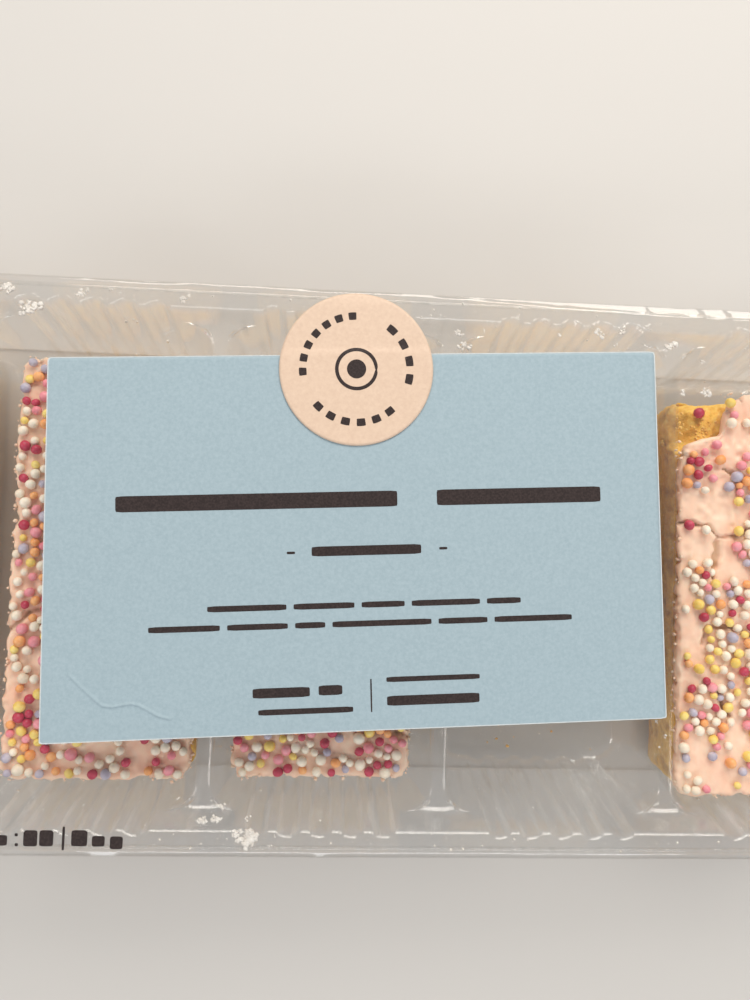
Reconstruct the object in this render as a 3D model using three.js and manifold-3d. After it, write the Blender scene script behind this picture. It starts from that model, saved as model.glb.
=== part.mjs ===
// A sealed clear pack of five oblong iced sponge cakes.
// Millimetres, +Z up. X runs along the pack, and the origin is at the middle of its underside.
//
// From the outside in: a round sticker, an oblong paper label, a flow-wrapped film with a flat
// crimped seal at each end, a thin clear tray with five wells, and in each well one cake made of
// a sponge slab and a layer of icing.

import * as THREE from 'three';
import { mergeVertices } from 'three/addons/utils/BufferGeometryUtils.js';
import Module from 'manifold-3d';

const wasm = await Module();
wasm.setup();

// ---------------------------------------------------------------- driving dimensions

const GAP = 0.3;                 // air between pieces that touch on the real pack

// Tray: one thin sheet, drawn down into wells from a flat flange.
const WELLS = 5;
const WELL_PITCH = 48;           // middle of one well to the middle of the next
const SHEET = 0.5;               // thickness of the tray's sheet
const FILM = 0.3;                // thickness of the film
const TRAY_BASE_Z = FILM + GAP;  // underside of the well floors
const TRAY_DEPTH = 30;           // underside of the floors to the top of the flange
const RIM_Z = TRAY_BASE_Z + TRAY_DEPTH;
const SHELF_DROP = 7;            // the dividers' tops lie this far below the flange
const DIVIDER_TOP = 3.5;         // width of a divider's top
const MOUTH_HALF_Y = 50.5;       // half the mouth's width, at the flange
const END_DRAFT = 0.185;         // slope of the long side walls, mm in per mm down
const SIDE_DRAFT = 0.05;         // slope of the dividers and of the row's end walls
const CORNER = 5.5;              // plan radius of a well's corners
const FLOOR_CHAMFER = 1.5;       // where the walls meet the floor
const FLANGE = 4.1;              // width of the flange outside the mouth
const FLANGE_CORNER = 7;
const LIP = 1.8;                 // height of the flange's down-turned edge

// Ribs: upright flutes that bulge outwards from the long side walls.
const RIBS = 5;                  // on each side of each well
const RIB_PITCH = 6.26;
const RIB_WIDTH = 3.4;
const RIB_DEPTH = 1;
const RIB_STEPS = 4;

// Film: a sleeve round the tray whose ends are pressed flat and crimped.
const FILM_BASE_HALF_Y = 47.8;   // half width of the flat underside
const FILM_FOLD_Z = 28;          // the sides lean out from the base up to this height
const FILM_SLACK = 1.1;          // the film stands this far outside the flange
const TAPER = 13;                // from the tray's end to the start of the crimp
const CRIMP = 12;                // length of the crimped seal
const CRIMP_Z = 15.6;            // height of the seal's middle
const CRIMP_HALF_Y = 54.5;

// Label and sticker, as they lie on the top of the film. The label isn't quite square-cut.
const PAPER = 0.3;
const LABEL_CORNERS = [
  [-53.7, -34.4],
  [68.1, -27.6],
  [64.4, 46.0],
  [-55.5, 39.4],
];
const STICKER_MIDDLE = [4.1, 39.7];
const STICKER_RADIUS = 15.2;
const STICKER_SIDES = 40;

// Cakes. Each sponge slab carries a layer of icing that stands a little proud of it.
const SPONGE_HEIGHT = 16;
const ICING_HEIGHT = 3.4;
const CAKE_CORNER = 3.5;         // plan radius of a cake's corners
const SPONGE_INSET = 0.45;       // the sponge's sides lie this far inside the icing's
const CAKES = [
  // middle x and y, width, length, turn in degrees, and a seed for the uneven outline
  { x: -95.4, y: 0.3, width: 38.6, length: 85.6, turn: 0.3, seed: 0.4 },
  { x: -46.2, y: -0.8, width: 39.2, length: 86.8, turn: -0.4, seed: 1.7 },
  { x: -0.5, y: -0.8, width: 38.2, length: 85.0, turn: 0.2, seed: 2.9 },
  { x: 48.4, y: 5.6, width: 38.0, length: 76.0, turn: -0.3, seed: 4.3 },
  { x: 93.7, y: -3.9, width: 38.2, length: 84.6, turn: 0.1, seed: 5.2, bare: true },
];
const BARE_CORNER = { x: -13.2, y: 38.6, radius: 8.2 };  // icing broken away from the last cake

// ---------------------------------------------------------------- colours

const CLEAR_SHEET = new THREE.MeshStandardMaterial({
  color: 0xe4e9ea, roughness: 0.12, metalness: 0, transparent: true, opacity: 0.3,
});
const CLEAR_FILM = new THREE.MeshStandardMaterial({
  color: 0xf2f5f6, roughness: 0.08, metalness: 0, transparent: true, opacity: 0.15,
});
const BLUE_PAPER = new THREE.MeshStandardMaterial({ color: 0xb4cfd9, roughness: 0.7, metalness: 0 });
const CREAM_PAPER = new THREE.MeshStandardMaterial({ color: 0xf0dfd0, roughness: 0.6, metalness: 0 });
const SPONGE = new THREE.MeshStandardMaterial({ color: 0xd9a441, roughness: 0.95, metalness: 0 });
const ICING = new THREE.MeshStandardMaterial({ color: 0xf4dcd2, roughness: 0.45, metalness: 0 });

// ---------------------------------------------------------------- solids from outlines

// A closed body through a stack of outlines with the same number of points each. The outlines
// run counter-clockwise seen from the side that the stack grows towards.
function loft(rings) {
  const count = rings[0].length;
  const positions = rings.flat().flatMap((p) => [p.x, p.y, p.z]);
  const index = [];
  for (let level = 0; level + 1 < rings.length; level++) {
    for (let i = 0; i < count; i++) {
      const a = level * count + i;
      const b = level * count + ((i + 1) % count);
      index.push(a, b, b + count, a, b + count, a + count);
    }
  }
  const caps = [[0, true], [rings.length - 1, false]];
  for (const [level, flip] of caps) {
    for (const [a, b, c] of capTriangles(rings[level])) {
      const base = level * count;
      index.push(base + a, base + (flip ? c : b), base + (flip ? b : c));
    }
  }
  const geometry = new THREE.BufferGeometry();
  geometry.setAttribute('position', new THREE.Float32BufferAttribute(positions, 3));
  geometry.setIndex(index);
  return geometry;
}

// Triangles of a flat outline, counter-clockwise in the outline's own sense. An outline across
// X is flattened to Y and Z, and any other one to X and Y.
function capTriangles(ring) {
  const acrossX = ring.every((p) => p.x === ring[0].x);
  const flat = ring.map((p) => (acrossX ? new THREE.Vector2(p.y, p.z) : new THREE.Vector2(p.x, p.y)));
  return THREE.ShapeUtils.triangulateShape(flat, []);
}

// A stack of flat outlines, each a [height, points] pair.
function stack(levels) {
  return loft(levels.map(([z, points]) => points.map((p) => new THREE.Vector3(p.x, p.y, z))));
}

function solid(geometry) {
  const bare = new THREE.BufferGeometry();
  bare.setAttribute('position', geometry.getAttribute('position'));
  bare.setIndex(geometry.getIndex());
  const merged = mergeVertices(bare, 1e-4);
  return new wasm.Manifold(new wasm.Mesh({
    numProp: 3,
    vertProperties: new Float32Array(merged.getAttribute('position').array),
    triVerts: new Uint32Array(merged.getIndex().array),
  }));
}

function geometryOf(body) {
  const mesh = body.getMesh();
  const geometry = new THREE.BufferGeometry();
  geometry.setAttribute('position', new THREE.Float32BufferAttribute(mesh.vertProperties, 3));
  geometry.setIndex(Array.from(mesh.triVerts));
  return geometry;
}

const group = new THREE.Group();

function place(name, geometry, material) {
  const mesh = new THREE.Mesh(geometry, material);
  mesh.name = name;
  group.add(mesh);
  return mesh;
}

// ---------------------------------------------------------------- outlines

// The four corner arcs of a rounded oblong, counter-clockwise from the lower right one, with
// the extra points of each side put in between by sidePoints(side).
function roundedOutline(halfX, halfY, radius, steps, sidePoints = () => []) {
  const corners = [
    [halfX - radius, radius - halfY, -0.5],
    [halfX - radius, halfY - radius, 0],
    [radius - halfX, halfY - radius, 0.5],
    [radius - halfX, radius - halfY, 1],
  ];
  const points = [];
  corners.forEach(([x, y, from], side) => {
    for (let step = 0; step <= steps; step++) {
      const angle = Math.PI * (from + (0.5 * step) / steps);
      points.push(new THREE.Vector2(x + radius * Math.cos(angle), y + radius * Math.sin(angle)));
    }
    points.push(...sidePoints(side));
  });
  return points;
}

// The points of the ribs along one long side: y = -halfY for sign -1 and +halfY for sign 1,
// listed in the outline's running direction.
function ribPoints(wellMiddles, halfY, depth, sign) {
  const points = [];
  for (const middle of wellMiddles) {
    for (let rib = 0; rib < RIBS; rib++) {
      const x = middle + (rib - (RIBS - 1) / 2) * RIB_PITCH;
      for (let step = 0; step <= RIB_STEPS; step++) {
        const share = step / RIB_STEPS;
        const bulge = depth * Math.sin(Math.PI * share);
        points.push(new THREE.Vector2(x + (share - 0.5) * RIB_WIDTH, sign * (halfY + bulge)));
      }
    }
  }
  return sign > 0 ? points.reverse() : points;
}

// A ribbed oblong: the long sides (after corner arcs 1 and 3) carry the ribs of the given wells.
function ribbedOutline(halfX, halfY, radius, wellMiddles, depth = RIB_DEPTH) {
  return roundedOutline(halfX, halfY, radius, 3, (side) => {
    if (side === 1) return ribPoints(wellMiddles, halfY, depth, 1);
    if (side === 3) return ribPoints(wellMiddles, halfY, depth, -1);
    return [];
  });
}

const moved = (points, x) => points.map((p) => new THREE.Vector2(p.x + x, p.y));

// ---------------------------------------------------------------- tray

const wellMiddles = Array.from({ length: WELLS }, (_, i) => (i - (WELLS - 1) / 2) * WELL_PITCH);
const SHELF_Z = RIM_Z - SHELF_DROP;
const FLOOR_Z = TRAY_BASE_Z + SHEET;
const WELL_HALF_X = (WELL_PITCH - DIVIDER_TOP) / 2;

const wallHalfY = (z) => MOUTH_HALF_Y - (RIM_Z - z) * END_DRAFT;
const wellHalfX = (z) => WELL_HALF_X - (SHELF_Z - z) * SIDE_DRAFT;
const rowHalfX = (z) => wellMiddles[WELLS - 1] + wellHalfX(z);

// One well, from above the shelf down to the floor. grow = 0 gives the space inside it, and
// grow = SHEET the same shape with the sheet's thickness added all round and below.
function well(middle, grow, top) {
  const outline = (z, inset, depth) => moved(
    ribbedOutline(wellHalfX(z) + grow - inset, wallHalfY(z) + grow - inset, CORNER + grow - inset, [0], depth),
    middle,
  );
  return solid(stack([
    [FLOOR_Z - grow, outline(FLOOR_Z, FLOOR_CHAMFER, RIB_DEPTH / 2)],
    [FLOOR_Z - grow + FLOOR_CHAMFER, outline(FLOOR_Z + FLOOR_CHAMFER, 0, RIB_DEPTH)],
    [top, outline(top, 0, RIB_DEPTH)],
  ]));
}

// The shallow basin above the dividers, which joins all five wells.
function basin(grow, top) {
  const outline = (z) => ribbedOutline(rowHalfX(z) + grow, wallHalfY(z) + grow, CORNER + grow, wellMiddles);
  return solid(stack([[SHELF_Z - grow, outline(SHELF_Z)], [top, outline(top)]]));
}

const FLANGE_HALF_X = rowHalfX(RIM_Z) + FLANGE;
const FLANGE_HALF_Y = MOUTH_HALF_Y + FLANGE;

function flangeBlock(inset, bottom, top) {
  const points = roundedOutline(FLANGE_HALF_X - inset, FLANGE_HALF_Y - inset, FLANGE_CORNER - inset, 4);
  return solid(stack([[bottom, points], [top, points]]));
}

function makeTray() {
  let tray = flangeBlock(0, RIM_Z - LIP, RIM_Z).subtract(flangeBlock(SHEET, RIM_Z - LIP - 1, RIM_Z - SHEET));
  tray = tray.add(basin(SHEET, RIM_Z - SHEET / 2));
  for (const middle of wellMiddles) tray = tray.add(well(middle, SHEET, SHELF_Z));
  tray = tray.subtract(basin(0, RIM_Z + 1));
  for (const middle of wellMiddles) tray = tray.subtract(well(middle, 0, SHELF_Z + 1));
  return geometryOf(tray);
}

place('tray', makeTray(), CLEAR_SHEET);

// ---------------------------------------------------------------- film

const FILM_TOP_Z = RIM_Z + GAP + FILM;
const FILM_HALF_Y = FLANGE_HALF_Y + FILM_SLACK;

// The sleeve's section in Y and Z, from the lower right round to the lower left. thin shrinks
// it by the film's own thickness, to give the space inside.
function fullSection(x, thin, baseRise) {
  const low = baseRise + thin;
  const fold = Math.max(FILM_FOLD_Z, low + 1);
  return [
    [-FILM_BASE_HALF_Y + thin, low],
    [FILM_BASE_HALF_Y - thin, low],
    [FILM_HALF_Y - thin, fold],
    [FILM_HALF_Y - thin, FILM_TOP_Z - thin],
    [-FILM_HALF_Y + thin, FILM_TOP_Z - thin],
    [-FILM_HALF_Y + thin, fold],
  ].map(([y, z]) => new THREE.Vector3(x, y, z));
}

// The same six points pressed flat, with the sleeve's two layers face to face.
function crimpSection(x, thin) {
  const thick = FILM + GAP / 2 - thin;
  const half = CRIMP_HALF_Y - thin;
  return [
    [-half, CRIMP_Z - thick],
    [half, CRIMP_Z - thick],
    [half + 0.2, CRIMP_Z],
    [half, CRIMP_Z + thick],
    [-half, CRIMP_Z + thick],
    [-half - 0.2, CRIMP_Z],
  ].map(([y, z]) => new THREE.Vector3(x, y, z));
}

// The sleeve from one end to the other. The space inside runs out between the two layers of
// each crimp, which only touch on the real pack.
function sleeve(thin, past) {
  const shoulder = FLANGE_HALF_X + 2 * GAP;     // the top sheet starts down here
  const heel = shoulder - TAPER / 3;            // the bottom sheet starts up here
  const crimp = shoulder + TAPER;
  const end = crimp + CRIMP + past;
  const rise = (CRIMP_Z * (shoulder - heel)) / (crimp - heel);
  const rings = [
    crimpSection(-end, thin),
    crimpSection(-crimp, thin),
    fullSection(-shoulder, thin, rise),
    fullSection(-heel, thin, 0),
    fullSection(heel, thin, 0),
    fullSection(shoulder, thin, rise),
    crimpSection(crimp, thin),
    crimpSection(end, thin),
  ];
  return solid(loft(rings));
}

place('film', geometryOf(sleeve(0, 0).subtract(sleeve(FILM, 1))), CLEAR_FILM);

// ---------------------------------------------------------------- label and sticker

const LABEL_Z = FILM_TOP_Z + GAP;
const STICKER_Z = LABEL_Z + PAPER + GAP;

function makeLabel() {
  const points = LABEL_CORNERS.map(([x, y]) => new THREE.Vector2(x, y));
  return stack([[LABEL_Z, points], [LABEL_Z + PAPER, points]]);
}

function makeSticker() {
  const disc = new THREE.CylinderGeometry(STICKER_RADIUS, STICKER_RADIUS, PAPER, STICKER_SIDES);
  disc.rotateX(Math.PI / 2);
  return disc;
}

place('label', makeLabel(), BLUE_PAPER);
place('sticker', makeSticker(), CREAM_PAPER).position.set(...STICKER_MIDDLE, STICKER_Z + PAPER / 2);

// ---------------------------------------------------------------- cakes

const LONG_SIDE_POINTS = 6;
const SHORT_SIDE_POINTS = 3;

// A hand-cut oblong: rounded corners, and sides that wander in and out by a few tenths.
function cakeOutline(width, length, inset, seed, waver) {
  const halfX = width / 2 - inset;
  const halfY = length / 2 - inset;
  const radius = Math.max(CAKE_CORNER - inset, 1);
  const ends = [
    [halfX, radius - halfY, halfX, halfY - radius, LONG_SIDE_POINTS],
    [halfX - radius, halfY, radius - halfX, halfY, SHORT_SIDE_POINTS],
    [-halfX, halfY - radius, -halfX, radius - halfY, LONG_SIDE_POINTS],
    [radius - halfX, -halfY, halfX - radius, -halfY, SHORT_SIDE_POINTS],
  ];
  const along = (side) => {
    const [x0, y0, x1, y1, count] = ends[side];
    return Array.from({ length: count }, (_, i) => {
      const t = (i + 1) / (count + 1);
      return new THREE.Vector2(x0 + (x1 - x0) * t, y0 + (y1 - y0) * t);
    });
  };
  return roundedOutline(halfX, halfY, radius, 2, along).map((p) => {
    const angle = Math.atan2(p.y * (width / length), p.x);
    const shift = -waver * (1 + Math.sin(3 * angle + seed) * 0.6 + Math.sin(7 * angle + 2 * seed) * 0.4) / 2;
    return p.setLength(p.length() + shift);
  });
}

// The sponge narrows towards its foot, and the icing's top edge is rounded over.
function makeSponge({ width, length, seed }) {
  const w = width - 2 * SPONGE_INSET;
  const l = length - 2 * SPONGE_INSET;
  const levels = [[0, 2.9], [1.3, 1.6], [4, 0.8], [SPONGE_HEIGHT - 1, 0], [SPONGE_HEIGHT, 0.5]];
  return stack(levels.map(([z, inset]) => [z, cakeOutline(w, l, inset, seed, 0.5)]));
}

function makeIcing({ width, length, seed, bare }) {
  const levels = [[0, 0.5], [0.7, 0], [ICING_HEIGHT - 1.2, 0.1], [ICING_HEIGHT - 0.3, 0.6], [ICING_HEIGHT, 1.6]];
  const slab = stack(levels.map(([z, inset]) => [z, cakeOutline(width, length, inset, seed + 1, 0.6)]));
  if (!bare) return slab;
  const bite = new THREE.CylinderGeometry(BARE_CORNER.radius, BARE_CORNER.radius, 3 * ICING_HEIGHT, 14);
  bite.rotateX(Math.PI / 2);
  bite.translate(BARE_CORNER.x, BARE_CORNER.y, ICING_HEIGHT / 2);
  return geometryOf(solid(slab).subtract(solid(bite)));
}

const CAKE_Z = FLOOR_Z + GAP;

CAKES.forEach((cake, i) => {
  const stand = new THREE.Group();
  stand.position.set(cake.x, cake.y, CAKE_Z);
  stand.rotation.z = THREE.MathUtils.degToRad(cake.turn);
  group.add(stand);
  const sponge = place(`sponge_${i + 1}`, makeSponge(cake), SPONGE);
  const icing = place(`icing_${i + 1}`, makeIcing(cake), ICING);
  icing.position.z = SPONGE_HEIGHT + GAP;
  stand.add(sponge, icing);
});

export default group;
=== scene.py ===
# %% [markdown]
# # A sealed pack of iced sponge cakes
#
# The real thing is a thin clear tray with five wells, one oblong iced cake in each well, a clear
# film wrapped round it all and crimped at both ends, a pale blue paper label on top and a round
# cream sticker over the label's edge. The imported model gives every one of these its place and
# size. This notebook makes the surfaces that are seen: each one is worked out as whole numpy
# arrays of points, in millimetres, and turned into a mesh in metres at the end.

import bmesh
import bpy
import numpy as np
from mathutils import Euler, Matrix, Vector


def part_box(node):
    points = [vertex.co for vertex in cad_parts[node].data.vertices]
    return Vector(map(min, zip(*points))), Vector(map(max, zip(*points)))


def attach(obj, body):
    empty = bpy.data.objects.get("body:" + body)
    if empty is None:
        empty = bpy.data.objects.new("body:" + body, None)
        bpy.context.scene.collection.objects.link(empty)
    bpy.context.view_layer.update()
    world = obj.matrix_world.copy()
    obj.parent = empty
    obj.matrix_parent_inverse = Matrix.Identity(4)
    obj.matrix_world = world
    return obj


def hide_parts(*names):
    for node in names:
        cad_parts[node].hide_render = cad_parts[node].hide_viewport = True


MM = 0.001
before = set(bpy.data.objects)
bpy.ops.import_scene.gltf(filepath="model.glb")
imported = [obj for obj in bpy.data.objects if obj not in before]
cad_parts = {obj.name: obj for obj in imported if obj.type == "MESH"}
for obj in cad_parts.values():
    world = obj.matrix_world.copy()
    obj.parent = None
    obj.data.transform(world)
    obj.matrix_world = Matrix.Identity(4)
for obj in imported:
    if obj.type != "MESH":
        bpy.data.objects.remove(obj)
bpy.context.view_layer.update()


def box_mm(node):
    """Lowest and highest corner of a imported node, in millimetres."""
    low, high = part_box(node)
    return np.array(low) / MM, np.array(high) / MM


# %% [markdown]
# ## Camera
#
# The camera hangs 18 cm above the table and looks almost straight down, with a slight tilt. Its
# place and turn come from lining up the evenly spaced wells and ribs of the tray with where they
# are in the picture. The same numbers work backwards: a ray from the camera through a pixel meets
# any level of the pack at one point, which is how a crack or a crumb gets its place.

# %% Camera and pixel rays
CAMERA_AT = np.array([-0.32, 8.20, 179.0])
CAMERA_TURN = (0.0372229, -0.0613913, 0.0312028)
FOCAL_PIXELS = 751.0
PICTURE = (750, 1000)
SENSOR = 36.0

camera_data = bpy.data.cameras.new("camera")
camera_data.lens = FOCAL_PIXELS / PICTURE[1] * SENSOR
camera_data.sensor_width = SENSOR
camera_data.clip_start = 0.01
camera = bpy.data.objects.new("camera", camera_data)
camera.location = CAMERA_AT * MM
camera.rotation_euler = CAMERA_TURN
bpy.context.scene.collection.objects.link(camera)
bpy.context.scene.camera = camera


def seen_at(pixels, height):
    """Points (mm) at this height that the camera sees at these pixels: the camera's place plus
    the ray through the pixel, stretched until it comes down to the height."""
    pixels = np.atleast_2d(np.asarray(pixels, float))
    turn = np.array(Euler(CAMERA_TURN, "XYZ").to_matrix())
    aside = pixels - np.array(PICTURE) / 2
    rays = np.column_stack([aside[:, 0], -aside[:, 1], np.full(len(aside), -FOCAL_PIXELS)]) @ turn.T
    return CAMERA_AT + rays * ((height - CAMERA_AT[2]) / rays[:, 2])[:, None]


print("lens in mm:", round(camera_data.lens, 2))

# %% [markdown]
# ## Table and light
#
# A plain pale table and soft boxes. Clear plastic shows only by what it mirrors, so where the
# boxes stand matters more than how strong they are. The camera looks straight down, and the flat
# film would mirror a box overhead as a grey veil. The main box therefore stands low beyond the
# far edge, where only rounded edges and folds tip its image into the camera as thin bright lines.

# %% Table and lights
TABLE_COLOUR = (0.57, 0.548, 0.518, 1)
TABLE_ROUGHNESS = 0.7
TABLE_SIZE = 12.0              # metres
TABLE_DROP = 0.05              # mm under the pack, so that the two don't share a level
LIGHTS = {
    # place in mm, width and height of the box in mm, power in watts, colour
    "key_box": ((110, 520, 430), 780, 330, 5.2, (1.0, 0.95, 0.88)),
    "right_box": ((520, -230, 380), 110, 280, 0.75, (1.0, 0.97, 0.93)),
    "side_box": ((-520, -60, 380), 220, 320, 1.0, (1.0, 0.97, 0.93)),
    "front_box": ((60, -520, 430), 560, 130, 1.25, (0.96, 0.98, 1.0)),
}
SKY_COLOUR = (0.93, 0.95, 1.0, 1)
SKY_STRENGTH = 0.36

bpy.ops.mesh.primitive_plane_add(size=TABLE_SIZE, location=(0, 0, -TABLE_DROP * MM))
table = bpy.context.object
table.name = "table"
table_material = bpy.data.materials.new("table")
table_material.use_nodes = True
table_shader = table_material.node_tree.nodes["Principled BSDF"]
table_shader.inputs["Base Color"].default_value = TABLE_COLOUR
table_shader.inputs["Roughness"].default_value = TABLE_ROUGHNESS
table.data.materials.append(table_material)

for name, (place, width, height, power, colour) in LIGHTS.items():
    lamp = bpy.data.lights.new(name, "AREA")
    lamp.shape = "RECTANGLE"
    lamp.size = width * MM
    lamp.size_y = height * MM
    lamp.energy = power
    lamp.color = colour
    stand = bpy.data.objects.new(name, lamp)
    stand.location = np.array(place) * MM
    stand.rotation_euler = (-stand.location).to_track_quat("-Z", "Y").to_euler()
    bpy.context.scene.collection.objects.link(stand)

world = bpy.data.worlds.new("studio")
world.use_nodes = True
sky = world.node_tree.nodes["Background"]
sky.inputs["Color"].default_value = SKY_COLOUR
sky.inputs["Strength"].default_value = SKY_STRENGTH
bpy.context.scene.world = world
bpy.context.scene.view_settings.view_transform = "Standard"
bpy.context.scene.cycles.transparent_max_bounces = 24
print("lights:", list(LIGHTS))

# %% [markdown]
# ## Points, faces and noise
#
# Every piece below is a grid of points, or several grids that share their edges. `grid_faces`
# joins the points of one grid into squares, `weld` merges the edges that two grids share, and
# `add_piece` makes the mesh. Natural unevenness comes from one kind of smooth noise, whose
# random numbers are seeded, so the pack is the same each time it is made.

# %% Grids of points
def grid_faces(rows, columns, wrap=False):
    """Squares between neighbouring rows and columns of a grid; wrap joins its last column to its
    first. They face the side from which a turn from along a row to along a column is anticlockwise."""
    index = np.arange(rows * columns).reshape(rows, columns)
    if wrap:
        index = np.concatenate([index, index[:, :1]], axis=1)
    return np.stack([index[:-1, :-1], index[:-1, 1:], index[1:, 1:], index[1:, :-1]], axis=-1).reshape(-1, 4)


def border(grid_x, grid_y):
    """The outer points of a plan grid, anticlockwise from its lower left corner."""
    picks = [np.s_[0, :-1], np.s_[:-1, -1], np.s_[-1, :0:-1], np.s_[:0:-1, 0]]
    return np.concatenate([grid_x[p] for p in picks]), np.concatenate([grid_y[p] for p in picks])


def gather(grids):
    """One array of points and one of faces out of several (points, faces) pairs."""
    points = np.concatenate([p.reshape(-1, 3) for p, _ in grids])
    starts = np.cumsum([0] + [p.reshape(-1, 3).shape[0] for p, _ in grids[:-1]])
    return points, np.concatenate([faces + start for (_, faces), start in zip(grids, starts)])


def weld(points, quads, nearness=0.004):
    """Merges points nearer than this many mm. A square that has lost one corner becomes a
    triangle, and one that has lost more is dropped."""
    keys = np.round(points / nearness).astype(np.int64)
    _, first, merged = np.unique(keys, axis=0, return_index=True, return_inverse=True)
    quads = merged.reshape(-1)[quads]
    twice = quads == np.roll(quads, -1, axis=1)
    crossed = (quads[:, 0] == quads[:, 2]) | (quads[:, 1] == quads[:, 3])
    whole = quads[(twice.sum(axis=1) == 0) & ~crossed]
    pinched = (twice.sum(axis=1) == 1) & ~crossed
    return points[first], [whole, quads[pinched][~twice[pinched]].reshape(-1, 3)]


print("grid of 3 x 4 points:", len(grid_faces(3, 4)), "squares")

# %% Pieces
def new_mesh(name, points, faces):
    """A mesh in metres out of points in mm and lists of three- or four-cornered faces."""
    faces = [f for f in faces if len(f)]
    sizes = np.concatenate([np.full(len(f), f.shape[1]) for f in faces])
    mesh = bpy.data.meshes.new(name)
    mesh.vertices.add(len(points))
    mesh.vertices.foreach_set("co", (points * MM).astype(np.float32).ravel())
    mesh.loops.add(int(sizes.sum()))
    mesh.loops.foreach_set("vertex_index", np.concatenate([f.ravel() for f in faces]).astype(np.int32))
    mesh.polygons.add(len(sizes))
    mesh.polygons.foreach_set("loop_start", (np.cumsum(sizes) - sizes).astype(np.int32))
    mesh.update(calc_edges=True)
    mesh.validate()
    mesh.shade_smooth()
    return mesh


def add_piece(name, points, faces, material, stands_for=()):
    """Adds a finished piece, lets it ride on the pack and hides the imported nodes it stands for."""
    piece = bpy.data.objects.new(name, new_mesh(name, points, faces))
    piece.data.materials.append(material)
    bpy.context.scene.collection.objects.link(piece)
    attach(piece, "root")
    if stands_for:
        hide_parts(*stands_for)
    print(name, len(points), "points")
    return piece


def thicken(piece, sheet):
    """Makes a surface a sheet, `sheet` mm thick to the inside of its faces."""
    thickness = piece.modifiers.new("sheet", "SOLIDIFY")
    thickness.thickness = sheet * MM
    thickness.offset = -1


def keep_values(piece, name, values):
    """Stores one number for each point, which the piece's material reads by this name."""
    piece.data.attributes.new(name, "FLOAT", "POINT").data.foreach_set("value", values.astype(np.float32))


print("nodes to stand for:", sorted(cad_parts))

# %% Noise and ridges
LATTICE = 32                   # random values along each side of the noise, which then repeats


def noise(points, spacing, seed):
    """Smooth noise from -1 to 1. Random values sit on a cubic lattice with this spacing in mm, and
    a point takes the mean of its eight neighbours, weighted by a smooth step along each axis."""
    lattice = np.random.default_rng(seed).uniform(-1, 1, (LATTICE, LATTICE, LATTICE))
    place = np.asarray(points, float) / spacing
    low = np.floor(place).astype(int)
    part = place - low
    part = part * part * (3 - 2 * part)
    total = np.zeros(place.shape[:-1])
    for corner in np.ndindex(2, 2, 2):
        x, y, z = np.moveaxis((low + corner) % LATTICE, -1, 0)
        total += np.prod(np.where(corner, part, 1 - part), axis=-1) * lattice[x, y, z]
    return total


def flat_noise(x, y, spacing, seed):
    """The same noise on a plane."""
    x, y = np.broadcast_arrays(x, y)
    return noise(np.stack([x, y, np.full_like(x, 0.37 * spacing)], axis=-1), spacing, seed)


def smooth_step(x, low, high):
    """0 below low, 1 above high, and a smooth rise 3t^2 - 2t^3 between them."""
    t = np.clip((x - low) / (high - low), 0, 1)
    return t * t * (3 - 2 * t)


def ridge(x, y, start, end, width):
    """1 on the line from start to end, falling off as a bell with the distance from it."""
    start, along = np.array(start[:2]), np.array(end[:2]) - np.array(start[:2])
    share = np.clip(((x - start[0]) * along[0] + (y - start[1]) * along[1]) / (along @ along), 0, 1)
    away = np.hypot(x - start[0] - share * along[0], y - start[1] - share * along[1])
    return np.exp(-((away / width) ** 2))


print("noise at three points:", noise(np.eye(3), 2.0, 1).round(2))

# %% [markdown]
# ## Clear plastic
#
# Tray and film are clear sheets thinner than a millimetre, so light goes straight through them
# and there is nothing to refract. Each is a mix of a Transparent and a Glossy shader. The share
# of gloss follows the angle: a little face on, and more and more towards a grazing look, as the
# fifth power of Layer Weight's facing value. A faint dull part with a noise mask stands for
# smears and dust. On the tray's end walls the dull part is stronger: upright streaks for scuffs,
# and a painted highlight along each side of each rib.

# %% Shader helpers
def node(tree, kind, inputs=(), **settings):
    """Adds a shader node, with its settings, and fills its inputs with numbers or other outputs."""
    made = tree.nodes.new(kind)
    for key, value in settings.items():
        setattr(made, key, value)
    for key, value in dict(inputs).items():
        if isinstance(value, bpy.types.NodeSocket):
            tree.links.new(value, made.inputs[key])
        else:
            made.inputs[key].default_value = value
    return made


def math(tree, operation, a, b):
    return node(tree, "ShaderNodeMath", {0: a, 1: b}, operation=operation).outputs[0]


def ramp(tree, factor, stops):
    """A Color Ramp with these (place, colour) stops; a plain number is a grey."""
    made = node(tree, "ShaderNodeValToRGB", {"Fac": factor})
    elements = made.color_ramp.elements
    while len(elements) < len(stops):
        elements.new(0.5)
    for element, (place, colour) in zip(elements, stops):
        element.position = place
        element.color = (colour, colour, colour, 1) if isinstance(colour, (int, float)) else (*colour, 1)
    return made.outputs["Color"]


def speckle(tree, scale, detail=2.0, roughness=0.5):
    """Noise on Object coordinates, which are metres, so a scale of 1000 has lumps a millimetre wide."""
    place = node(tree, "ShaderNodeTexCoord").outputs["Object"]
    inputs = {"Vector": place, "Scale": scale, "Detail": detail, "Roughness": roughness}
    return node(tree, "ShaderNodeTexNoise", inputs).outputs["Fac"]


def stored(tree, name):
    """The number that keep_values gave each point under this name."""
    return node(tree, "ShaderNodeAttribute", attribute_name=name).outputs["Fac"]


def mixed(tree, share, first, second, blend="MIX"):
    inputs = {"Factor": share, 6: first, 7: second}
    return node(tree, "ShaderNodeMix", inputs, data_type="RGBA", blend_type=blend).outputs[2]


print("node helpers ready")

# %% Painted materials
def painted(name, values):
    """A material with one Principled shader, whose sockets take these constant values."""
    material = bpy.data.materials.new(name)
    material.use_nodes = True
    shader = material.node_tree.nodes["Principled BSDF"]
    for socket, value in values.items():
        shader.inputs[socket].default_value = value
    return material, material.node_tree, shader


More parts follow.
